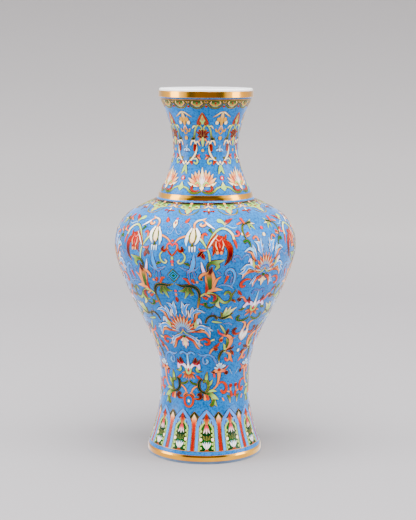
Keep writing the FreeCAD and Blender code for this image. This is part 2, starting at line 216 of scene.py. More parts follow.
class Motif:
    """Enamel cells and the wires round them, as flat lists of (angle, arc, lift) points."""

    def __init__(self, base_height):
        self.base = arc_at(base_height)
        self.cells = []
        self.wires = []

    def stroke(self, stations, colours, layer=0, wire=True, side=1, flat=False):
        """A tapering cell along a line of (degrees, mm up, mm wide) stations."""
        points = np.array([(a * side, v + self.base) for a, v, w in stations], float)
        scale = degree_at(points[:, 1].mean())
        path = points * (scale, 1)
        length = np.hypot(*np.diff(path, axis=0).T).sum()
        count = max(4, 2 * len(points), int(length / STEP) + 1)
        line = smooth(path, count)
        half = evenly([w for a, v, w in stations], count) / 2
        if wire:
            half = half - INSET * np.minimum(half, 1)
        half = np.maximum(half, LEAST_HALF)
        if not flat:
            line, half = rounded_ends(line, half)
        normal = sideways(np.gradient(line, axis=0))
        top = CELL_LIFT + LAYER_LIFT * layer
        tint = blend(colours, len(line))
        # The cell's side and its skirt on the ground take the dark colour: painted shade of the
        # groove at the wire's foot.
        edge = np.broadcast_to(LINEAR["solder"], tint.shape)
        skirt = WIRE_HALF + (SKIRT - WIRE_HALF) * np.clip(half / SKIRT_HALF, LEAST_SKIRT, 1)
        if wire:
            left = ((-1, skirt, 0, edge), (-1, EDGE_OUT, top, edge), (-1, EDGE_IN, top, tint))
        else:
            left = ((-1, 0, SUNK, tint), (-1, 0, top, tint))
        widest = half.max()
        spread = (-0.5, 0, 0.5) if widest > VERY_WIDE else (0,) if widest > WIDE else ()
        face = tuple((offset, 0, top + CELL_CROWN, tint) for offset in spread)
        right = tuple((-offset, reach, lift, shade) for offset, reach, lift, shade in left[::-1])
        rings, tints = [], []
        for offset, reach, lift, shade in left + face + right:
            ring = line + normal * (offset * (half + reach))[:, None]
            rings.append(np.c_[ring / (scale, 1), np.full(len(line), lift)])
            tints.append(shade)
        self.add_cell(rings, tints, side)
        if wire:
            left = line + normal * half[:, None]
            right = (line - normal * half[:, None])[::-1]
            self.add_wire(np.vstack([left, right]), scale, top, side)

    def add_cell(self, rings, tints, side):
        """A closed tube of quads from rings of points that run along a stroke."""
        count, rows = len(rings), len(rings[0])
        faces = []
        for i in range(rows - 1):
            for k in range(count):
                a, b = i * count + k, i * count + (k + 1) % count
                faces.append((a, b, b + count, a + count))
        faces.append(tuple(range(count - 1, -1, -1)))
        faces.append(tuple(range((rows - 1) * count, rows * count)))
        if side > 0:
            faces = [f[::-1] for f in faces]
        points, colours = (np.stack(part, 1).reshape(-1, 3) for part in (rings, tints))
        self.cells.append((points, faces, colours))

    def add_wire(self, path, scale, top, side):
        """A closed wire of three-cornered section, along a path in mm."""
        path = path[np.hypot(*(path - np.roll(path, 1, axis=0)).T) > WIRE_STEP]
        if len(path) < 4:
            return
        normal = sideways(np.roll(path, -1, axis=0) - np.roll(path, 1, axis=0))
        count = len(path)
        corners = ((-1, top - WIRE_FOOT), (0, top + WIRE_OVER), (1, top - WIRE_FOOT))
        rings = [
            np.c_[(path + normal * WIRE_HALF * k) / (scale, 1), np.full(count, lift)]
            for k, lift in corners
        ]
        faces, sides = [], len(corners)
        for i in range(count):
            j = (i + 1) % count
            for k in range(sides):
                m = (k + 1) % sides
                faces.append((i * sides + k, j * sides + k, j * sides + m, i * sides + m))
        if side < 0:
            faces = [f[::-1] for f in faces]
        self.wires.append((np.stack(rings, 1).reshape(-1, 3), faces, None))

    def pair(self, stations, colours, layer=0, wire=True):
        """A stroke and its mirror image about the motif's axis."""
        for side in (1, -1):
            self.stroke(stations, colours, layer, wire, side)

    def spine(self, stations, colours, layer=0, flat=False):
        """A stroke on the motif's axis, along (mm up, mm wide) stations."""
        self.stroke([(0, v, w) for v, w in stations], colours, layer, flat=flat)

    def petal(self, stations, layer=0):
        """A pair of white-edged petals with a blue heart."""
        self.pair(stations, "sky ice white white white", layer)
        heart = [(a, v, w * 0.6) for a, v, w in stations]
        self.pair(heart, "cobalt azure azure sky ice", layer + 1, False)

    def dot(self, a, v, radius, colour, layer=1, both=True):
        """A round bead, as a stroke that is all rounded end."""
        reach, width = radius * 0.15, 2 * radius
        for side in (1, -1) if both and a else (1,):
            self.stroke([(a, v - reach, width), (a, v + reach, width)], colour, layer, True, side)

    def fan(self, v, up, across, count, colours, width, spread=80, start=0.2, layer=0):
        """Petals that fan out from a point on the axis, by so many mm up and to each side."""
        scale = degree_at(self.base + v)
        for i in range(count):
            angle = math.radians(-spread + 2 * spread * i / (count - 1))
            a, rise = math.sin(angle) * across / scale, math.cos(angle) * up
            ends = ((start, width * 0.35), ((1 + start) / 2, width), (1, 0.3))
            self.stroke([(a * k, v + rise * k, w) for k, w in ends], colours, layer)


# ---- materials ------------------------------------------------------------------------

BUMP_DEPTH = 0.0001  # metres


def add(tree, kind, **inputs):
    """A shader node. Each input is a value or another node's output; _ stands for a space."""
    node = tree.nodes.new("ShaderNode" + kind)
    for name, value in inputs.items():
        socket = node.inputs[name.replace("_", " ")]
        if isinstance(value, bpy.types.NodeSocket):
            tree.links.new(value, socket)
        else:
            socket.default_value = value
    return node


def shader(name, roughness, metallic=0.0, coat=0.0, shine=0.3):
    material = bpy.data.materials.new(name)
    material.use_nodes = True
    bsdf = material.node_tree.nodes["Principled BSDF"]
    bsdf.inputs["Roughness"].default_value = roughness
    bsdf.inputs["Metallic"].default_value = metallic
    bsdf.inputs["Coat Weight"].default_value = coat
    bsdf.inputs["Coat Roughness"].default_value = 0.05
    bsdf.inputs["Specular IOR Level"].default_value = shine
    return material, material.node_tree, bsdf


def noise(tree, scale, detail=4.0):
    """Noise in the object's own space; objects sit at the vase's origin, in metres."""
    place = add(tree, "TexCoord").outputs["Object"]
    return add(tree, "TexNoise", Scale=scale, Detail=detail, Vector=place).outputs["Fac"]


def ramp(tree, source, low, high, start=0.3, end=0.7):
    node = add(tree, "ValToRGB", Fac=source)
    for stop, position, colour in zip(node.color_ramp.elements, (start, end), (low, high)):
        stop.position = position
        stop.color = (*colour, 1)
    return node


def mix_colours(tree, factor, first, second, blend_type="MIX"):
    """Mixes two colours. The mix node's colour sockets go by number."""
    mix = add(tree, "Mix")
    mix.data_type = "RGBA"
    mix.blend_type = blend_type
    for socket, value in ((0, factor), (6, first), (7, second)):
        if isinstance(value, bpy.types.NodeSocket):
            tree.links.new(value, mix.inputs[socket])
        else:
            mix.inputs[socket].default_value = value
    return mix.outputs[2]


def paint(tree, bsdf, colour, grain, strength):
    """Gives a shader its colour and a fine bump."""
    tree.links.new(colour, bsdf.inputs["Base Color"])
    bump = add(tree, "Bump", Strength=strength, Distance=BUMP_DEPTH, Height=noise(tree, grain))
    tree.links.new(bump.outputs["Normal"], bsdf.inputs["Normal"])


def plain(name, low, high, roughness, scale, metallic=0.0, coat=0.0, bump=(900, 0.12)):
    """A material that drifts between two colours, with a fine surface."""
    material, tree, bsdf = shader(name, roughness, metallic, coat)
    drift = ramp(tree, noise(tree, scale), linear(low), linear(high))
    gloss = add(tree, "MapRange", Value=noise(tree, scale * 6),
                To_Min=roughness * 0.8, To_Max=roughness * 1.3)
    tree.links.new(gloss.outputs["Result"], bsdf.inputs["Roughness"])
    paint(tree, bsdf, drift.outputs["Color"], *bump)
    return material


def ground_enamel():
    """The blue ground: drifting blue with the fine dark stipple of its firing pits."""
    material, tree, bsdf = shader("blue_enamel", 0.15, shine=0.09)
    drift = ramp(tree, noise(tree, 38), linear((0, 97, 162)), linear((0, 117, 198)))
    pits = ramp(tree, noise(tree, 520, 1.0), (0.42, 0.56, 0.64), (1, 1, 1), 0.36, 0.54)
    colour = mix_colours(tree, 1, drift.outputs["Color"], pits.outputs["Color"], "MULTIPLY")
    paint(tree, bsdf, colour, 780, 0.08)
    return material


def enamel_cells():
    """Glossy enamel that takes each cell's own colour, a little cloudy and pitted."""
    material, tree, bsdf = shader("cell_enamel", 0.18, shine=0.08)
    own = add(tree, "VertexColor")
    own.layer_name = "enamel"
    cloud = ramp(tree, noise(tree, 420), (0.86, 0.86, 0.86), (1, 1, 1), 0.25, 0.6)
    colour = mix_colours(tree, 1, own.outputs["Color"], cloud.outputs["Color"], "MULTIPLY")
    paint(tree, bsdf, colour, 1400, 0.1)
    return material


BLUE = ground_enamel()
# The foot rim is blue enamel, painted a dark grey-blue: painted shade below the gilt foot ring.
SHADED_RIM_BLUE = plain("foot_rim_painted_shade", (62, 82, 112), (88, 108, 134), 0.35, 60)
WHITE = plain("white_enamel", (246, 246, 249), (250, 250, 252), 0.15, 30, coat=0.2)
GILT = plain("polished_gilt", (176, 112, 16), (204, 148, 40), 0.14, 24, 1.0, bump=(420, 0.55))
WIRE = plain("gilt_wire", (128, 80, 24), (170, 120, 50), 0.36, 160, 0.4)
COPPER = plain("raw_copper", (172, 96, 62), (198, 118, 78), 0.4, 50, 1.0)
SOLDER = plain("silver_solder", (168, 168, 166), (196, 196, 194), 0.45, 90, 1.0)
CELLS = enamel_cells()

NODE_FINISH = (
    (BLUE, (*WALL_NODES, "base_enamel", "foot_inner_enamel")),
    (SHADED_RIM_BLUE, ("foot_rim_enamel",)),
    (WHITE, ("inner_body_enamel", "inner_neck_enamel", "inner_floor_enamel", "white_lip")),
    (GILT, ("lip_ring", "collar_ring", "foot_ring")),
    (WIRE, ("foot_border_wire", "lip_border_wire")),
    (COPPER, ("foot_shell", "belly_shell", "shoulder_shell", "neck_shell", "base_plate")),
    (SOLDER, ("waist_solder_seam", "belly_solder_seam", "neck_solder_seam", "base_solder_fillet")),
)
for material, names in NODE_FINISH:
    for name in names:
        for slot in NODES[name].material_slots:
            slot.material = material


# ---- pieces ---------------------------------------------------------------------------

SHARP = math.radians(50)  # edges sharper than this aren't shaded smooth


def add_object(name, data):
    item = bpy.data.objects.new(name, data)
    bpy.context.scene.collection.objects.link(item)
    return item


def build(name, parts, turns, material):
    """One object from a motif's parts, turned to its places round the vase."""
    points, faces, colours, start = [], [], [], 0
    for turn in turns:
        for place, some, tint in parts:
            points.append(on_wall(place[:, 0] + turn, place[:, 1], place[:, 2]))
            faces += [tuple(i + start for i in f) for f in some]
            start += len(place)
            if tint is not None:
                colours.append(tint)
    mesh = bpy.data.meshes.new(name)
    mesh.from_pydata(np.vstack(points).tolist(), [], faces)
    if colours:
        layer = mesh.color_attributes.new("enamel", "FLOAT_COLOR", "POINT")
        rgba = np.c_[np.vstack(colours), np.ones(start)]
        layer.data.foreach_set("color", rgba.ravel().astype(np.float32))
    mesh.materials.append(material)
    mesh.shade_smooth()
    mesh.set_sharp_from_angle(angle=SHARP)
    piece = add_object(name, mesh)
    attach(piece, "root")
    return piece


def place(name, motif, count, turn, slot, node=None):
    """Repeats a motif round the vase, one cells object and one wires object for each."""
    for i in range(count):
        lay(f"{name}_{i + 1}", f"{name}_wires_{i + 1}", motif, [turn + 360 * i / count], node)


def ring(name, motif, count, turn, slot, node=None):
    """Repeats a small motif round the vase in one cells object and one wires object."""
    turns = [turn + 360 * i / count for i in range(count)]
    lay(f"{name}_ring", f"{name}_ring_wires", motif, turns, node)


def lay(name, wires_name, motif, turns, node):
    cells = build(name, motif.cells, turns, CELLS)
    if node:
        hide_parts(node)
    wires = build(wires_name, motif.wires, turns, WIRE)


# ---- body motifs ----------------------------------------------------------------------

BODY_BASE = 45.0  # height that the body motifs' arcs are measured from
BODY_UNITS = 3
LOW_TURN = -20.3
HIGH_TURN = 40.3


def lotus(m, v, wide, tall, petals):
    """The heart of a lotus: a fan of flame petals, stamens and a blue arch."""
    m.fan(v, tall, wide, petals, "orange red orange peach", 3.0, 84, 0.45)
    m.fan(v, tall * 0.84, wide * 0.82, petals - 2, "peach orange cream", 2.6, 80, 0.4, 1)
    m.fan(v, tall * 0.62, wide * 0.66, petals, "sky ice ice", 1.5, 76, 0.35, 2)


def lower_lotus():
    m = Motif(BODY_BASE)
    lotus(m, 95.5, 15.0, 23.5, 13)
    m.petal([(4.5, 116.5, 1.6), (4.3, 121, 6.4), (4, 127, 5), (3.1, 134.5, 0.5)], 2)
    m.petal([(4.5, 123.5, 3.2), (6.5, 130, 3), (9.2, 131.6, 0.5)], 3)
    m.petal([(3.8, 120.5, 2.2), (1.9, 127.8, 0.5)], 3)
    m.pair([(7.6, 116.5, 2.6), (7.3, 123.8, 0.6)], "peach white", 1)
    m.petal([(10.2, 112.5, 1.6), (10, 118, 4), (10.6, 124, 3.6), (11.2, 127.8, 0.7)], 2)
    m.petal([(10.8, 120, 3), (14, 125, 3), (15.2, 127, 0.6)], 3)
    m.petal([(12, 121.4, 2.8), (16, 123.6, 3.4), (20.2, 121.5, 0.7)], 3)
    m.pair([(11.2, 109.5, 1.5), (13, 115, 3), (14, 119.6, 2), (17, 121, 0.6)],
           "crimson red peach peach", 3)
    m.pair([(14.4, 108, 2.4), (14.8, 113.4, 3.4), (16.4, 111, 2.6), (17.6, 107.6, 0.5)],
           "white ice lilac", 2)
    m.pair([(12, 102.5, 3.4), (13.2, 107.5, 5), (13.2, 112, 2)], "peach pale peach", 1)
    m.petal([(12.2, 99.8, 1.4), (16, 103.6, 5.4), (20, 102.4, 5.2), (24, 100.5, 3.4),
             (27.8, 98.4, 0.6)], 2)
    m.petal([(21, 103, 2.4), (25.4, 103.4, 0.5)], 3)
    m.petal([(21.5, 100.5, 3.6), (24, 96, 3.6), (25.2, 91, 0.9)], 3)
    m.pair([(11.8, 97, 1.4), (15, 97.6, 2.6), (19, 98, 2.6), (22.4, 95.6, 2), (24, 92, 1.6),
            (25.3, 89.8, 0.5)], "crimson red peach peach peach", 4)
    m.pair([(16.4, 98.8, 1.8), (18.6, 100.6, 0.6)], "orange peach", 4)
    m.pair([(0.05, 101.9, 1.8), (1.8, 101.4, 2), (3.6, 98.6, 1.4)], "cobalt", 4)
    m.pair([(0.6, 97.5, 1.2), (3, 94.4, 1.3), (7, 94.2, 0.6)], "peach pale olive", 4)
    m.dot(0, 98.7, 1.0, "peach", 4)
    m.dot(0, 91, 1.5, "green", 5)
    m.petal([(1.4, 93.6, 0.8), (5, 91.8, 2.8), (10, 88.8, 3.2), (12.5, 86, 4), (14, 82, 3.8),
             (15, 77.4, 1)], 2)
    m.petal([(10, 89.4, 1.8), (13.6, 90.2, 0.5)], 3)
    m.pair([(12, 87.6, 1.8), (14.8, 86.2, 1.2)], "ice white", 3)
    m.pair([(14, 82.5, 3), (18.4, 79.8, 0.6)], "ice peach", 3)
    m.pair([(2.4, 90, 1.6), (5.2, 88.4, 2.8), (9, 85.4, 2.4), (11, 80.5, 2), (13, 76.8, 1.6),
            (15, 75.8, 0.5)], "crimson red orange peach peach", 4)
    m.pair([(1.2, 88.6, 1.6), (2.8, 86, 3), (4.3, 86, 0.6)], "peach white", 3)
    m.pair([(0.8, 87, 2), (2.1, 82, 3), (2.6, 79.2, 0.6)], "peach lilac", 3)
    m.spine([(88, 2), (82, 4.6), (76.4, 0.7)], "peach cream peach", 4)
    return m


def upper_lotus():
    m = Motif(BODY_BASE)
    lotus(m, 166, 13.6, 21, 11)
    m.petal([(4, 185.6, 1.6), (4.4, 190, 7), (5.4, 195.6, 5), (8.6, 198.2, 0.6)], 2)
    m.petal([(4.6, 191, 4), (4, 196.5, 3), (3.4, 201, 0.6)], 3)
    m.petal([(3.6, 189, 2.4), (1.8, 194.8, 0.5)], 3)
    m.pair([(5.2, 198.6, 1.4), (6.2, 202.2, 1.9), (7.8, 203, 2), (8.8, 201.2, 2.5)],
           "peach orange", 4)
    m.petal([(7.5, 180.6, 1.2), (8.4, 185, 3.4), (9.4, 190, 4), (10, 194.6, 0.8)], 2)
    m.pair([(9.6, 189, 3), (12.4, 191.6, 2.6), (15.6, 188.6, 0.8)], "ice ice white", 3)
    m.pair([(7.8, 178.4, 1.6), (9.6, 182.6, 2.8), (11.2, 187, 2), (14, 188.4, 0.6)],
           "crimson red peach peach", 4)
    m.pair([(10.6, 175.4, 2.2), (11.8, 180.6, 3.6), (13, 178, 0.6)], "white lilac", 2)
    m.pair([(8.6, 170.5, 3.4), (9.6, 175, 4.4), (9.4, 179, 1.6)], "peach pale peach", 1)
    m.petal([(8.4, 170.2, 1.4), (11.4, 173, 4.8), (14, 173.4, 4.8), (17.6, 170.4, 0.8)], 2)
    m.petal([(13.4, 172, 4), (15.6, 167.2, 4), (18.6, 166.2, 0.8)], 3)
    m.pair([(15.2, 167, 3.4), (16, 160.6, 0.7)], "ice white", 3)
    m.pair([(8.4, 167.2, 1.4), (11, 167.8, 2.8), (13.2, 166.6, 2.2), (15, 164, 2),
            (15.8, 160.6, 0.6)], "crimson red peach peach", 4)
    m.pair([(10.4, 168.6, 1.6), (12.6, 170, 0.5)], "orange peach", 4)
    m.pair([(0.05, 173.6, 1.8), (1.8, 173.1, 2), (3.7, 170.6, 1.2)], "cobalt", 4)
    m.pair([(0.8, 168.6, 1.2), (3, 166, 1.2), (6.4, 166.4, 0.6)], "peach pale olive", 4)
    m.dot(0, 170, 1.0, "peach", 4)
    m.dot(0, 163.4, 1.6, "green", 5)
    m.pair([(1.4, 166, 0.8), (4, 164, 2.4), (6.6, 161.6, 1.2)], "cobalt cobalt sky", 2)
    m.petal([(6.2, 161.6, 2), (7.6, 157, 3.6), (9.8, 153.6, 0.6)], 3)
    m.pair([(7.4, 157.5, 2.8), (7.2, 151.6, 0.6)], "ice white", 3)
    m.pair([(1.6, 162.2, 1.4), (4, 160.4, 2.8), (6, 156.4, 2), (7.2, 150.2, 0.6)],
           "crimson orange peach", 4)
    m.pair([(0.8, 160, 1.5), (2.2, 157.4, 2.8), (3.4, 158.2, 0.5)], "peach cream", 3)
    m.spine([(160.6, 2), (156.5, 5), (151.2, 0.7)], "peach cream peach", 4)
    return m


def fret_lozenge():
    """A green lozenge with nested diamonds, in place of the fret mark."""
    m = Motif(BODY_BASE)
    m.spine([(156.6, 0.5), (164, 13), (171.4, 0.5)], "green", flat=True)
    for reach in (5.2, 2.6):
        side = reach * 0.64
        for a0, v0, a1, v1 in ((0, reach, side, 0), (side, 0, 0, -reach)):
            m.pair([(a0, 164 + v0, 0.6), (a1, 164 + v1, 0.6)], "sky azure", 2, False)
    return m


def bats():
    m = Motif(BODY_BASE)
    m.pair([(21.3, 192.5, 1.2), (23.6, 200, 2), (27.2, 208, 1)], "crimson red red", 3)
    m.pair([(22.4, 193.5, 1), (24.8, 200, 1.6), (28, 206, 0.8)], "white white peach", 4)
    m.pair([(23.4, 194.5, 0.9), (25.6, 199.6, 1.2)], "red", 3)
    m.pair([(28, 205.8, 1), (30.6, 203.6, 2.6), (32.4, 202.6, 3.4), (33.6, 206.4, 0.7)], "red", 3)
    m.pair([(30, 201, 3), (33, 198, 5.4), (35.2, 193.6, 6), (35.6, 188, 5), (34.6, 181.5, 3.8),
            (32.2, 175.6, 0.8)], "rose red red crimson crimson orange", 2)
    m.pair([(34.2, 200.2, 0.8), (35, 197, 3)], "red", 3)
    m.pair([(26.6, 202, 2.4), (26, 196, 3.4), (25.8, 190.5, 2.8), (24.8, 185.6, 0.7)],
           "red red crimson", 2)
    m.pair([(28.8, 202, 5.6), (29, 196.6, 10.4), (29.6, 190.6, 6.4)], "red", 3)
    m.pair([(26.8, 203, 0.8), (28.8, 200, 1.5), (31, 203, 0.8)], "cream rose rose", 4)
    m.pair([(27, 199.6, 0.8), (26.8, 195.6, 1.3), (27.8, 191.4, 0.8)], "rose cream", 4)
    m.pair([(31, 200, 0.8), (31.6, 196, 1.3), (30.6, 192, 0.8)], "rose cream", 4)
    m.pair([(28.8, 198, 1), (29.2, 194, 1.6)], "orange rose", 4)
    m.dot(27.6, 188.6, 1.5, "peach", 4)
    m.dot(30.1, 188.4, 1.5, "peach", 4)
    return m


def knots():
    """Drop, gourds, peach arms, ruyi knot and blue leaves above the lower lotus."""
    m = Motif(BODY_BASE)
    m.stroke([(-0.6, 213.4, 1.2), (-0.6, 217.5, 5), (-0.6, 221.8, 3)], "white cream white", 1)
    m.stroke([(-0.6, 217.6, 0.8), (-0.6, 220.2, 2)], "rose red", 2)
    m.dot(-0.4, 225, 1.2, "rose", 1, False)
    m.pair([(0.4, 212.6, 0.6), (1.5, 208.4, 0.9), (3, 206.4, 0.9), (4.7, 207.6, 0.9),
            (4, 209.8, 0.6)], "sky")
    m.pair([(11, 213.6, 0.5), (9.4, 218, 0.9), (6, 220, 0.9), (3.5, 217, 0.9), (4.5, 213.6, 0.9),
            (6, 214.6, 0.6)], "sky cobalt")
    m.pair([(7, 220.6, 2.8), (7.8, 223.4, 2.8), (8.9, 226.6, 0.6)], "orange", 1)
    m.pair([(13.2, 213.6, 1.8), (13, 218, 2), (14.4, 221.8, 2.1), (17, 223.9, 2),
            (19.3, 224.4, 2.4), (21.4, 226.8, 0.6)], "peach peach cream peach", 2)
    m.pair([(19, 223.2, 1.6), (20.8, 220.6, 1.8), (20.4, 217.6, 2.4), (18.6, 215.9, 2.8),
            (17, 217, 2.2), (17.6, 218.8, 1.2)], "peach peach cream", 2)
    m.pair([(20.9, 220.2, 1.4), (23.2, 216.6, 2.8), (26.4, 212.6, 0.7)], "white white peach", 3)
    m.pair([(14.6, 213, 2), (16.2, 207, 4), (15.4, 200.4, 3.6), (14, 196.4, 1)],
           "white white ice", 2)
    m.pair([(11.4, 213, 1.6), (9.6, 206, 3.6), (8.6, 200, 3.4), (8.9, 194.4, 0.6)],
           "white white ice", 2)
    m.pair([(12.8, 212, 2.4), (12.6, 206, 4.6), (12.2, 201, 5), (12.3, 197, 1.2)],
           "cream cream peach", 3)
    m.pair([(14.3, 210, 0.6), (14.7, 204, 1.6), (13.9, 198.6, 0.6)], "sage", 4)
    m.pair([(10.8, 209, 0.6), (10.4, 203, 1.5), (11, 198, 0.6)], "sage", 4)
    m.pair([(12.4, 198, 1), (12.4, 195, 2.4)], "dark green", 4)
    for a in (10.8, 12.4, 14.0):
        m.pair([(a, 193.8, 2), (a, 189.6, 1.2)], "white ice", 3)
    m.pair([(16.4, 203, 1.6), (18.5, 200, 2.6), (21, 193.5, 1.2)], "white pale pale", 2)
    m.pair([(1.7, 198.3, 1.2), (4, 202, 1.8), (8, 204.6, 1.8), (9.6, 204.8, 1)], "peach", 2)
    m.pair([(0.05, 194.8, 1.5), (1.6, 197, 1.9), (3.3, 195.2, 1.9), (2.8, 191.8, 1.2)],
           "rose rose peach", 3)
    m.pair([(3.4, 194.6, 1), (3.9, 191, 1.6), (5.2, 189.2, 2.6), (6.5, 190.6, 3),
            (5.9, 193.6, 1.4)], "peach red crimson crimson", 3)
    m.pair([(2.9, 190.5, 1.2), (1.6, 187, 1.5), (0.05, 184.9, 1.2)], "red", 3)
    m.dot(-0.2, 199.6, 1.3, "orange", 2, False)
    m.dot(0, 182.4, 1.5, "pale", 2)
    m.dot(0, 178.8, 1.6, "rose", 2)
    m.dot(0, 175.6, 1.1, "peach", 2)
    m.pair([(6, 188.6, 0.8), (7.8, 186, 1.5), (8, 182, 1.8), (6.6, 178.2, 1.8), (4.6, 177.2, 1.8),
            (3.6, 178.8, 1.9), (4.5, 180.6, 1.1)], "pale pale cream", 2)
    m.pair([(7.8, 177.2, 1.2), (9.6, 176.6, 2.8), (10.8, 175, 1.1)], "green", 2)
    m.pair([(11.3, 155.5, 1), (10.2, 161, 2.4), (9.8, 166, 3), (10.2, 170, 2.4)], "cobalt", 1)
    m.pair([(10.2, 169.6, 2.8), (7.5, 171.2, 2.1), (4.8, 173.4, 0.4)], "cobalt cobalt sky", 2)
    m.pair([(10.2, 168.5, 2.4), (12.2, 172.5, 4), (13.2, 179, 4.4), (13.5, 186.6, 0.5)],
           "cobalt sky sky", 2)
    m.pair([(12.6, 169.8, 1.8), (14.6, 171.4, 1.7), (16.3, 174, 0.4)], "cobalt sky", 2)
    m.pair([(12.6, 169, 1.2), (13.9, 166.2, 3), (13.6, 163.6, 1.1)], "cobalt", 1)
    m.pair([(6, 161.5, 0.6), (8.5, 160, 3), (10.3, 155, 1.6)], "orange", 2)
    m.pair([(12.4, 159.8, 2.7), (13.3, 156.2, 1.3)], "orange", 2)
    m.dot(15.2, 157.6, 1.3, "peach", 2)
    m.dot(0, 146.6, 1.3, "rose")
    m.dot(0, 142.4, 1.2, "peach")
    m.spine([(139, 1.6), (136.4, 3.2), (134, 1.8)], "red red crimson", 1)
    m.pair([(1, 154.6, 0.8), (5, 152.7, 2.4), (10, 153, 3.4), (14, 151.2, 3), (16.2, 146, 2.6),
            (16.6, 140, 2)], "pale dark dark dark dark olive", 3)
    m.pair([(16.6, 140.6, 2), (16, 136, 2.2), (15, 127.8, 1.6)], "olive sage peach", 2)
    m.pair([(9, 152, 3), (6, 147.4, 3.6), (2.6, 146.6, 0.8)], "dark sage pale", 2)
    m.pair([(9.4, 152, 3.4), (8.2, 145, 4), (6, 138.2, 0.6)], "dark sage pale", 1)
    m.pair([(9.6, 151, 3.4), (10.8, 146, 3), (12.2, 143.6, 2.4), (10.4, 142, 1.1)],
           "dark sage pale", 2)
    return m


